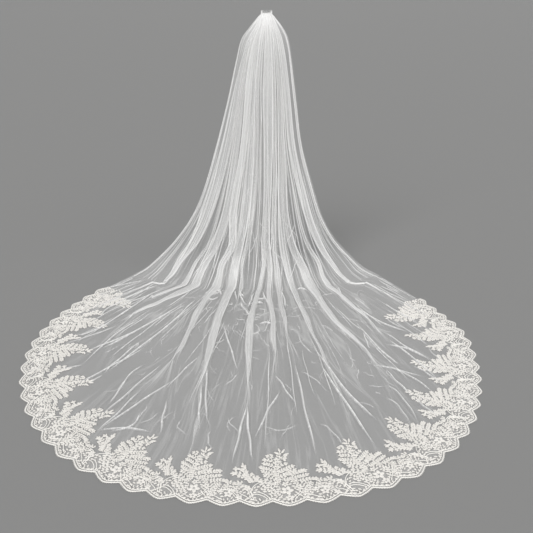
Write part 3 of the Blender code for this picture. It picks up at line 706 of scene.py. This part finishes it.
comb_plastic, nodes, links, shader = new_material("comb_plastic", {
    "Base Color": (0.93, 0.93, 0.915, 1.0), "Roughness": 0.16, "IOR": 1.47})
on_comb = nodes.new("ShaderNodeTexCoord")
along_comb = nodes.new("ShaderNodeSeparateXYZ")
links.new(on_comb.outputs["Object"], along_comb.inputs[0])
from_middle = math_node(nodes, links, "ABSOLUTE", along_comb.outputs[0])
milky = nodes.new("ShaderNodeMapRange")
for socket, value in zip(("From Min", "From Max", "To Min", "To Max"), MILKY_ENDS):
    milky.inputs[socket].default_value = value
links.new(from_middle, milky.inputs["Value"])
links.new(milky.outputs[0], shader.inputs["Transmission Weight"])
flow_marks = nodes.new("ShaderNodeTexNoise")
flow_marks.inputs["Scale"].default_value = 160.0
links.new(on_comb.outputs["Object"], flow_marks.inputs["Vector"])
flow_bump = nodes.new("ShaderNodeBump")
flow_bump.inputs["Strength"].default_value = 0.1
flow_bump.inputs["Distance"].default_value = 0.0003
links.new(flow_marks.outputs["Fac"], flow_bump.inputs["Height"])
links.new(flow_bump.outputs[0], shader.inputs["Normal"])

comb_body = new_piece("comb_body", np.concatenate([bar_points.reshape(-1, 3), tooth_points.reshape(-1, 3)]),
                      np.concatenate([grid_faces(*bar_points.shape[:2]), tooth_faces]), comb_plastic)
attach(comb_body, "root")
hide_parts("comb")

sewing_thread, nodes, links, shader = new_material("sewing_thread", {"Roughness": 0.6})
# A wave along the thread mixes two colours. The lighter is the thread's own white; the darker bands are painted
# shade in the grooves between its twisted plies.
twist_groove_shade = nodes.new("ShaderNodeTexWave")
twist_groove_shade.inputs["Scale"].default_value = 900.0
thread_place = nodes.new("ShaderNodeTexCoord")
links.new(thread_place.outputs["Object"], twist_groove_shade.inputs["Vector"])
thread_colour_and_groove_shade = nodes.new("ShaderNodeMix")
thread_colour_and_groove_shade.data_type = "RGBA"
thread_colour_and_groove_shade.inputs["A"].default_value = (0.80, 0.79, 0.77, 1.0)
thread_colour_and_groove_shade.inputs["B"].default_value = (0.92, 0.91, 0.89, 1.0)
links.new(twist_groove_shade.outputs["Fac"], thread_colour_and_groove_shade.inputs["Factor"])
links.new(thread_colour_and_groove_shade.outputs["Result"], shader.inputs["Base Color"])

turn_x = np.linspace(-STITCHED_HALF, STITCHED_HALF, STITCHES)[:, None, None]
turn_angle = np.linspace(0.0, 2 * np.pi, 19)[None, :, None]
thread_ring = np.linspace(0.0, 2 * np.pi, 6)[None, None, :]
outwards = THREAD_RADIUS * np.cos(thread_ring)
lean = 0.0013 * np.cos(turn_angle + 0.4 * np.sin(900.0 * turn_x))
stitch_points = np.stack([turn_x + lean + THREAD_RADIUS * np.sin(thread_ring),
                          (STITCH_REACH[0] + outwards) * np.cos(turn_angle) + 0.0 * turn_x,
                          (STITCH_REACH[1] + outwards) * np.sin(turn_angle) + 0.0 * turn_x], -1)
comb_stitches = new_piece("comb_stitches", stitch_points, many_grids(stitch_points), sewing_thread)
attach(comb_stitches, "root")


# Lace ground: the fine net that the border is worked on, one strip round the whole hem with
# a scalloped outer edge. It shows between the flowers and scrolls.
REPEATS = 14
SCALLOPS_PER_REPEAT = 3
SCALLOPS = REPEATS * SCALLOPS_PER_REPEAT
SCALLOP_DEPTH = 0.022
POINTED_SHARE = 0.65             # the rest of a scallop's outline is round
SCALLOP_ROOT = 0.003             # how far its roots stand inside the hem line
LACE_ENDS = (-0.10, SCALLOPS - 0.20)
SCALLOP = HEM_LENGTH[-1] / SCALLOPS
LACE_LIFT = TULLE_WALL + 0.0006
SPRAY_TIP = 1.45                 # where the tall spray's tip stands in its repeat, in scallops
LAID_AT = np.array((             # where each repeat's tip was laid round the hem, in even scallops
    1.04, 3.80, 6.88, 10.20, 13.33, 16.61, 19.55, 22.59, 25.86, 29.09, 31.99, 34.83, 37.92, 40.35,
))
GROUND_COLUMNS = 72              # to each repeat
GROUND_ROWS = 20
GROUND_ALPHA = 0.14


def lace_place(scallops, height, lift):
    """Points on the floor at a place in scallops and a height square to the hem, inwards. The
    repeats are stretched a little to where they were laid."""
    tips = SPRAY_TIP + SCALLOPS_PER_REPEAT * np.arange(REPEATS)
    knots = np.concatenate([[tips[0] - SCALLOPS_PER_REPEAT], tips, [tips[-1] + SCALLOPS_PER_REPEAT]])
    laid = np.concatenate([[LAID_AT[0] - 2.8], LAID_AT, [LAID_AT[-1] + 2.8]])
    along = np.interp(scallops, knots, laid) * SCALLOP
    slope = np.gradient(HEM_LINE, HEM_LENGTH, axis=0)
    on_hem = np.stack([np.interp(along, HEM_LENGTH, HEM_LINE[:, k]) for k in (0, 1)], -1)
    tangent = unit(np.stack([np.interp(along, HEM_LENGTH, slope[:, k]) for k in (0, 1)], -1))
    beyond_end = along - np.clip(along, 0.0, HEM_LENGTH[-1])
    inwards = np.stack([-tangent[..., 1], tangent[..., 0]], -1)
    floor_points = on_hem + tangent * beyond_end[..., None] + inwards * height[..., None]
    return np.concatenate([floor_points, (lift - COMB_HEIGHT + 0.0 * along)[..., None]], -1)


def scallop_edge(scallops):
    """How far the outer edge is beyond the hem line: over each scallop a pointed arch of two
    straight sides with a rounded point, mixed with a sine arch, less the little that its roots
    stand inside the line."""
    off_middle = 2.0 * (scallops - np.floor(scallops)) - 1.0
    pointed = (1.0 - np.sqrt(off_middle ** 2 + 0.03) + 0.015) / 0.842
    arch = POINTED_SHARE * pointed + (1.0 - POINTED_SHARE) * np.abs(np.sin(np.pi * scallops))
    return SCALLOP_DEPTH * arch - SCALLOP_ROOT


def band_top(scallops):
    """Height of the band's upper edge: two sine waves, of half a scallop and of a repeat."""
    return (0.078 + 0.005 * np.sin(4 * np.pi * scallops)
            + 0.010 * np.sin(2 * np.pi * (scallops - 0.7) / SCALLOPS_PER_REPEAT))


lace_net, nodes, links, shader = new_material("lace_net", {
    "Base Color": (0.90, 0.875, 0.835, 1.0), "Roughness": 0.8, "Specular IOR Level": 0.2,
    "Alpha": GROUND_ALPHA})

ground_s = np.linspace(*LACE_ENDS, REPEATS * GROUND_COLUMNS + 1)[None, :]
ground_t = np.linspace(0.0, 1.0, GROUND_ROWS + 1)[:, None]
ground_h = -scallop_edge(ground_s) + (band_top(ground_s) + scallop_edge(ground_s)) * ground_t
ground_points = lace_place(ground_s + 0.0 * ground_h, ground_h, LACE_LIFT)
lace_ground = new_piece("lace_ground", ground_points, grid_faces(*ground_h.shape), lace_net)
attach(lace_ground, "root")
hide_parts("lace_border")


# Leaves: satin-stitched shapes with a corded rim and a raised vein, in sprays that stand up from
# the band. Every repeat has one tall spray that leans to the right and one small one.
LEAF_RINGS = 4
LEAF_ACROSS = np.array((-1.0, -0.62, 0.0, 0.62, 1.0))
LEAF_RELIEF = np.array((0.0, 1.0, 0.35, 1.0, 0.0))
LEAF_LIFT = LACE_LIFT + 0.0002
LEAF_RAISED = 0.0028             # height of a leaf's corded rim
LEAF_GROWN = 1.08                # all leaves against the table
LEAF_SLIM = 0.47                 # width against length
STEMS = np.array((               # three points (scallops, mm), pairs of leaves, leaf length in mm
    (1.30, 78, 1.20, 150, 1.40, 244, 13, 13), (1.35, 208, 1.45, 214, 1.55, 217, 2, 13),
    (1.26, 200, 1.08, 212, 0.92, 219, 3, 13),
    (1.22, 181, 1.00, 196, 0.79, 200, 4, 13), (1.20, 160, 0.97, 175, 0.76, 181, 5, 12),
    (1.18, 139, 0.90, 154, 0.65, 162, 6, 12), (1.18, 119, 0.94, 132, 0.71, 143, 5, 12),
    (1.18, 99, 0.98, 112, 0.80, 122, 4, 12), (1.14, 82, 0.99, 92, 0.84, 101, 3, 12),
    (1.27, 186, 1.38, 197, 1.51, 202, 2, 13), (1.24, 161, 1.38, 172, 1.53, 178, 3, 13),
    (1.24, 136, 1.50, 151, 1.79, 163, 6, 13), (1.26, 114, 1.56, 128, 1.83, 145, 6, 13),
    (1.62, 119, 1.90, 133, 2.18, 139, 6, 13), (1.36, 96, 1.78, 108, 2.24, 118, 9, 12),
    (1.88, 90, 2.18, 96, 2.48, 94, 6, 12), (0.36, 86, 0.16, 120, -0.02, 172, 9, 13),
    (0.12, 124, -0.12, 131, -0.30, 131, 4, 13), (0.06, 146, -0.10, 152, -0.22, 153, 2, 13),
    (0.10, 119, 0.19, 125, 0.27, 127, 2, 13), (0.24, 106, 0.36, 112, 0.47, 113, 3, 13),
    (0.20, 103, 0.06, 112, -0.08, 118, 3, 12),
    (0.30, 92, 0.46, 100, 0.60, 99, 4, 12), (2.46, 84, 2.60, 88, 2.74, 83, 3, 11),
    (0.62, 86, 0.76, 90, 0.90, 86, 3, 11), (0.04, 86, -0.08, 88, -0.20, 84, 3, 11),
), dtype=float)
TIP_LEAVES = np.array((          # base (scallops, mm), bearing in degrees, length and width in mm
    (1.42, 238, 109, 25, 9), (1.45, 234, 49, 28, 9), (1.50, 222, 18, 29, 9), (1.36, 228, 150, 25, 9),
    (1.12, 221, 155, 20, 8), (-0.02, 168, 97, 18, 8), (0.00, 158, 50, 17, 7), (-0.05, 151, 168, 20, 8),
    (-0.18, 131, 176, 19, 8), (0.08, 134, 42, 17, 7), (0.86, 201, 170, 16, 7), (2.06, 139, 20, 18, 8),
    (1.72, 160, 30, 17, 7), (2.34, 96, -5, 18, 7),
), dtype=float)
STARS = np.array((               # five-petalled flowers: place in scallops, height, radius
    (1.48, 0.050, 0.021), (1.44, 0.079, 0.012), (1.53, 0.017, 0.014), (2.62, 0.034, 0.016),
    (0.20, 0.062, 0.014), (1.86, 0.066, 0.013), (2.96, 0.020, 0.012),
))
ROSES = np.array((               # place in scallops, height, radius
    (0.82, 0.062, 0.020), (1.14, 0.043, 0.018), (2.13, 0.043, 0.018), (2.52, 0.066, 0.014),
    (1.16, 0.086, 0.011), (1.80, 0.092, 0.011), (2.24, 0.074, 0.012), (2.82, 0.058, 0.015),
    (1.12, 0.130, 0.010), (1.62, 0.138, 0.010),
))


def leaf_grid(base_x, base_y, angle, length, width, bend, relief):
    """Leaf points from arrays of leaves, in metres. The middle line is an arc that turns by bend
    along the leaf; half the width is width / 2 * sin(pi a^0.8)^0.7; the relief is a table across."""
    a = np.linspace(0.0, 1.0, LEAF_RINGS + 1)
    turn = angle[:, None] + bend[:, None] * (a - 0.5)
    step = np.diff(a, prepend=0.0)
    x = base_x[:, None] + length[:, None] * np.cumsum(np.cos(turn) * step, axis=1)
    y = base_y[:, None] + length[:, None] * np.cumsum(np.sin(turn) * step, axis=1)
    half = width[:, None] / 2 * (np.sin(np.pi * a ** 0.8) ** 0.7 + 0.04)
    along = x[..., None] - np.sin(turn)[..., None] * half[..., None] * LEAF_ACROSS
    height = y[..., None] + np.cos(turn)[..., None] * half[..., None] * LEAF_ACROSS
    lift = LEAF_LIFT + relief[:, None, None] * LEAF_RELIEF * (np.sin(np.pi * a) ** 0.5)[:, None]
    across_cloth = half[..., None] * LEAF_ACROSS
    along_cloth = (length[:, None] * a)[..., None] + 0.0 * LEAF_ACROSS
    return along / SCALLOP, height, lift, across_cloth, along_cloth


def leaf_rows(base_x, base_y, angle, length, width, bend, relief):
    """Rows of a table of leaves, from numbers and arrays."""
    return np.stack(np.broadcast_arrays(base_x, base_y, angle, length, width, bend, relief), -1)


def repeat_round_hem(scallops, height, lift, *others):
    """Shapes of one repeat, copied to all the repeats. Those that pass an end of the lace go, and
    the sprays are cut back slanting there."""
    shift = (np.arange(REPEATS + 2) - 1) * SCALLOPS_PER_REPEAT
    scallops = scallops[None] + shift.reshape((-1,) + (1,) * scallops.ndim)
    copies = [np.broadcast_to(v[None], scallops.shape) for v in (height, lift) + others]
    flat = [v.reshape((-1,) + v.shape[2:]) for v in [scallops] + copies]
    each, top = [v.reshape(len(v), -1) for v in flat[:2]]
    cut_back = np.maximum(top.max(axis=1) - 0.09, 0.0)
    inside = ((each.min(axis=1) > LACE_ENDS[0] + 6.0 * cut_back)
              & (each.max(axis=1) < LACE_ENDS[1] - 5.0 * cut_back))
    flat = [v[inside] for v in flat]
    return lace_place(*flat[:3]), flat[3:]


def set_cloth_uv(piece, faces, across_cloth, along_cloth):
    """The UV map that the satin stitches follow, in metres across and along a leaf."""
    layer = piece.data.uv_layers.new(name="cloth")
    both = np.stack([across_cloth.ravel(), along_cloth.ravel()], -1)[faces.ravel()]
    layer.data.foreach_set("uv", both.astype(np.float32).ravel())


def stem_point(stem, t):
    """Parabola through the stem's three points at t = 0, 1/2 and 1, in metres."""
    p, q, r = stem[:6].reshape(3, 2) * (SCALLOP, 0.001)
    t = t[:, None]
    return (1 - t) * (1 - 2 * t) * p + 4 * t * (1 - t) * q + t * (2 * t - 1) * r


satin_thread, nodes, links, shader = new_material("satin_thread", {
    "Base Color": (0.81, 0.785, 0.745, 1.0), "Roughness": 0.55, "Specular IOR Level": 0.4, "Sheen Weight": 0.3})
cloth_uv = nodes.new("ShaderNodeUVMap")
cloth_uv.uv_map = "cloth"
stitch = nodes.new("ShaderNodeTexWave")
stitch.bands_direction = "DIAGONAL"
stitch.inputs["Scale"].default_value = 260.0
stitch.inputs["Distortion"].default_value = 1.2
links.new(cloth_uv.outputs[0], stitch.inputs["Vector"])
stitch_bump = nodes.new("ShaderNodeBump")
stitch_bump.inputs["Strength"].default_value = 0.35
stitch_bump.inputs["Distance"].default_value = 0.0004
links.new(stitch.outputs["Fac"], stitch_bump.inputs["Height"])
links.new(stitch_bump.outputs[0], shader.inputs["Normal"])


def lace_shapes(name, tables):
    """One object of many leaves, strokes or petals, repeated round the hem, from tables of rows."""
    points, cloth = repeat_round_hem(*leaf_grid(*np.concatenate(tables).T))
    faces = many_grids(points)
    piece = new_piece(name, points, faces, satin_thread)
    set_cloth_uv(piece, faces, *cloth)
    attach(piece, "root")
    return piece


uneven = np.random.default_rng(12)
leaf_tables = []
for stem in STEMS:
    pairs, size = int(stem[6]), stem[7] / 1000 * LEAF_GROWN
    t = np.linspace(0.08, 0.92, pairs)
    base = stem_point(stem, t)
    ahead = stem_point(stem, t + 0.02) - base
    heading = np.arctan2(ahead[:, 1], ahead[:, 0])
    for side in (-1.0, 1.0):
        length = size * uneven.uniform(0.88, 1.10, pairs)
        angle = heading + side * uneven.uniform(0.62, 0.92, pairs)
        width = LEAF_SLIM * size * uneven.uniform(0.88, 1.12, pairs)
        leaf_tables.append(leaf_rows(*base.T, angle, length, width, -0.45 * side, LEAF_RAISED))
    tip = stem_point(stem, np.array([0.94, 0.96]))
    tip_heading = math.atan2(tip[1, 1] - tip[0, 1], tip[1, 0] - tip[0, 0])
    leaf_tables.append(leaf_rows(*tip[:1].T, tip_heading, size * 1.15, size * 0.44, 0.0, LEAF_RAISED))
tip_s, tip_mm, tip_bearing, tip_length, tip_width = TIP_LEAVES.T
leaf_tables.append(leaf_rows(tip_s * SCALLOP, tip_mm / 1000, np.radians(tip_bearing), tip_length / 1000,
                             tip_width / 1000, 0.2, LEAF_RAISED))
lace_leaves = lace_shapes("lace_leaves", leaf_tables)


# Filling of the band: short strokes of satin stitch in nine rows that follow the scrolls. They
# leave the flowers free, and the few small places where only the net shows.
FILL_PITCH = 0.125               # from stroke to stroke in a row, in scallops
FILL_ROWS = 9
FILL_RISE = 0.0094               # from row to row
FILL_START = 0.0165              # the first row's way in from the outer edge
FILL_WIDTH = 0.0052
FILL_RAISED = 0.0024
OPEN_PLACES = (                  # middle and half sizes, in scallops and height
    (0.68, 0.026, 0.22, 0.013), (0.14, 0.026, 0.16, 0.013),
    (2.26, 0.020, 0.14, 0.008), (1.28, 0.074, 0.10, 0.010),
)

scatter = np.random.default_rng(21)
fill_s, fill_row = np.meshgrid(np.arange(0.06, 3.0, FILL_PITCH), np.arange(float(FILL_ROWS)))
fill_s = fill_s + FILL_PITCH / 2 * (fill_row % 2) + scatter.uniform(-0.022, 0.022, fill_s.shape)
fill_h = (FILL_START - scallop_edge(fill_s) * (1.0 - fill_row / FILL_ROWS) + FILL_RISE * fill_row
          + scatter.uniform(-0.0015, 0.0015, fill_s.shape))
fill_s, fill_h = fill_s.ravel(), fill_h.ravel()
flowers = np.concatenate([STARS, ROSES])
off_flowers = np.hypot((fill_s[:, None] - flowers[:, 0]) * SCALLOP,
                       fill_h[:, None] - flowers[:, 1]) > flowers[:, 2] * 1.05
in_open = np.zeros(fill_s.size, dtype=bool)
for open_s, open_h, reach_s, reach_h in OPEN_PLACES:
    in_open |= np.hypot((fill_s - open_s) / reach_s, (fill_h - open_h) / reach_h) < 1.0
kept = off_flowers.all(axis=1) & (fill_h < band_top(fill_s) + 0.002) & ~in_open
fill_s, fill_h = fill_s[kept], fill_h[kept]
flow = 1.1 * np.sin(2 * np.pi * fill_s) + 26.0 * (fill_h - 0.04) + scatter.uniform(-0.4, 0.4, fill_s.size)
fill_size = scatter.uniform(0.0115, 0.0160, fill_s.size)
lace_filling = lace_shapes("lace_filling", [leaf_rows(
    fill_s * SCALLOP - fill_size / 2 * np.cos(flow), fill_h - fill_size / 2 * np.sin(flow), flow,
    fill_size, FILL_WIDTH, scatter.uniform(-1.2, 1.2, flow.size), FILL_RAISED)])


# Flowers: stars of five pointed petals, and roses with two rings of curled petals round a coiled
# cord, in the band and up the sprays.
STAR_PETALS = 5
STAR_RAISED = 0.0026             # height of a petal's corded rim
ROSE_RAISED = 0.0024
ROSE_RINGS = (                   # petals, radius and length against the rose's radius, first angle
    (6, 0.72, 0.80, 0.2), (4, 0.34, 0.56, 0.7),
)

petal_tables = []
for star_s, star_h, radius in STARS:
    angle = 0.5 + 9.0 * star_s + 2 * np.pi * np.arange(STAR_PETALS) / STAR_PETALS
    petal_tables.append(leaf_rows(
        star_s * SCALLOP + 0.12 * radius * np.cos(angle), star_h + 0.12 * radius * np.sin(angle), angle,
        0.90 * radius, 0.62 * radius, 0.3, STAR_RAISED))
for rose_s, rose_h, radius in ROSES:
    for count, ring, size, first_angle in ROSE_RINGS:
        angle = first_angle + 2 * np.pi * np.arange(count) / count
        around = angle + np.pi / 2
        start_x = rose_s * SCALLOP + radius * (ring * np.cos(angle) - size / 2 * np.cos(around))
        start_y = rose_h + radius * (ring * np.sin(angle) - size / 2 * np.sin(around))
        petal_tables.append(leaf_rows(start_x, start_y, around, radius * size, radius * 0.38, 1.3,
                                      ROSE_RAISED))
lace_roses = lace_shapes("lace_roses", petal_tables)


# Cords: thick thread couched round the scallops in two lines with small loops along the outer
# one, along the stems and in scrolls across the band.
CORD_SIDES = 5
CORD_END = 0.03                  # size of the ring that closes a cord's end
CORD_LIFT = LACE_LIFT + 0.0009
EDGE_CORDS = ((0.0019, 0.0020), (0.0112, 0.0016))   # inset, radius
ZIGZAG = (0.0066, 0.0030, 0.0005, 11)   # inset, half height, radius, waves to a scallop
LOOP_PITCH = 15                  # loops to a scallop
LOOP_RADIUS = 0.0026
LOOP_THREAD = 0.0005
SCROLL_CORD = 0.0015
FINE_CORD = 0.0008               # along the stems and coiled in the roses
CURVE_POINTS = 16
ROSE_COIL = 0.26                 # radius of the coil against the rose's
SCROLLS = (                      # four points each, place in scallops and height
    ((-0.16, 0.078), (0.20, 0.072), (0.30, 0.046), (0.44, 0.006)),
    ((-0.12, 0.072), (0.18, 0.064), (0.25, 0.042), (0.36, 0.010)),
    ((0.76, 0.100), (0.46, 0.078), (0.33, 0.052), (0.40, 0.026)),
    ((0.40, 0.044), (0.56, 0.044), (0.76, 0.034), (0.94, 0.014)),
    ((0.42, 0.034), (0.56, 0.034), (0.74, 0.024), (0.86, 0.012)),
    ((0.98, 0.014), (0.96, 0.040), (1.06, 0.066), (1.26, 0.066)),
    ((1.62, 0.014), (1.76, 0.030), (1.86, 0.042), (1.92, 0.060)),
    ((1.68, 0.010), (1.82, 0.026), (1.92, 0.038), (1.98, 0.054)),
    ((1.96, 0.016), (2.02, 0.030), (2.20, 0.022), (2.46, 0.006)),
    ((2.00, 0.022), (2.10, 0.066), (2.36, 0.052), (2.84, 0.050)),
    ((2.30, 0.036), (2.44, 0.052), (2.74, 0.044), (2.98, 0.014)),
    ((2.96, 0.040), (3.02, 0.034), (3.16, 0.026), (3.28, 0.014)),
    ((0.60, 0.074), (0.72, 0.086), (0.92, 0.084), (1.00, 0.070)),
    ((1.28, 0.100), (1.44, 0.106), (1.50, 0.120), (1.40, 0.132)),
)


def cord_tubes(lines, radius, lift):
    """Tubes round many floor lines of equal length: rings of CORD_SIDES points square to each
    line, flattened a little, with one more ring drawn in to close each end. lines has the shape
    (lines, points, 2), in metres."""
    ahead = unit(np.gradient(lines, axis=1))
    side = np.stack([-ahead[..., 1], ahead[..., 0]], -1)
    lines, side = [np.concatenate([v[:, :1], v, v[:, -1:]], 1) for v in (lines, side)]
    drawn_in = np.ones((1, lines.shape[1], 1))
    drawn_in[:, [0, -1]] = CORD_END
    angle = np.linspace(0.0, 2 * np.pi, CORD_SIDES + 1)
    radius = np.asarray(radius).reshape(-1, 1, 1) * drawn_in
    along = lines[..., 0, None] + side[..., 0, None] * radius * np.cos(angle)
    height = lines[..., 1, None] + side[..., 1, None] * radius * np.cos(angle)
    return along / SCALLOP, height, lift + radius * 0.8 * np.sin(angle) + 0.0 * along


def smooth_lines(knots, count):
    """Curves through each row of knots, sampled evenly by knot number."""
    t = np.linspace(0.0, knots.shape[1] - 1.0, count)
    place = np.arange(knots.shape[1], dtype=float)
    return np.stack([np.stack([smooth_interp(t, place, row[:, k]) for k in (0, 1)], -1) for row in knots])


cord_thread, nodes, links, shader = new_material("cord_thread", {
    "Base Color": (0.86, 0.84, 0.80, 1.0), "Roughness": 0.5, "Sheen Weight": 0.3})


def cord_piece(name, points):
    """One object of many tubes."""
    piece = new_piece(name, points, many_grids(points), cord_thread)
    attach(piece, "root")
    return piece


edge_s = np.linspace(*LACE_ENDS, SCALLOPS * ZIGZAG[3] * 6 + 1)
edge_insets, edge_radii = np.array(EDGE_CORDS).T
edge_lines = np.stack([np.stack([edge_s * SCALLOP, inset - scallop_edge(edge_s)], -1) for inset in edge_insets])
zigzag_height = ZIGZAG[0] - scallop_edge(edge_s) + ZIGZAG[1] * np.sin(2 * np.pi * ZIGZAG[3] * edge_s)
edge_lines = np.concatenate([edge_lines, np.stack([edge_s * SCALLOP, zigzag_height], -1)[None]])
edge_cords = cord_tubes(edge_lines, np.append(edge_radii, ZIGZAG[2]), CORD_LIFT)
lace_edge = cord_piece("lace_edge_cords", lace_place(*edge_cords))

loop_s = (np.arange(SCALLOPS_PER_REPEAT * LOOP_PITCH) + 0.5) / LOOP_PITCH
loop_angle = np.linspace(-0.15 * np.pi, 1.15 * np.pi, 6)
loop_lines = np.stack([loop_s[:, None] * SCALLOP + LOOP_RADIUS * np.cos(loop_angle),
                       -scallop_edge(loop_s)[:, None] + 0.0004 - LOOP_RADIUS * np.sin(loop_angle)], -1)
loop_cords = cord_tubes(loop_lines, LOOP_THREAD, LACE_LIFT + 0.0006)
lace_loops = cord_piece("lace_loops", repeat_round_hem(*loop_cords)[0])

scroll_lines = smooth_lines(np.array(SCROLLS) * (SCALLOP, 1.0), CURVE_POINTS)
stem_lines = np.stack([stem_point(stem, np.linspace(0.0, 0.97, CURVE_POINTS)) for stem in STEMS])
coil = np.linspace(0.0, 3.6 * np.pi, CURVE_POINTS)
rose_s, rose_h, rose_radius = ROSES.T[..., None]
coil_lines = np.stack([rose_s * SCALLOP + rose_radius * ROSE_COIL * np.cos(coil) * (1 - coil / 14.0),
                       rose_h + rose_radius * ROSE_COIL * np.sin(coil) * (1 - coil / 14.0)], -1)
inner_lines = np.concatenate([scroll_lines, stem_lines, coil_lines])
inner_radii = np.repeat([SCROLL_CORD, FINE_CORD], [len(scroll_lines), len(stem_lines) + len(coil_lines)])
inner_cords = cord_tubes(inner_lines, inner_radii, CORD_LIFT + 0.0002)
lace_cords = cord_piece("lace_cords", repeat_round_hem(*inner_cords)[0])
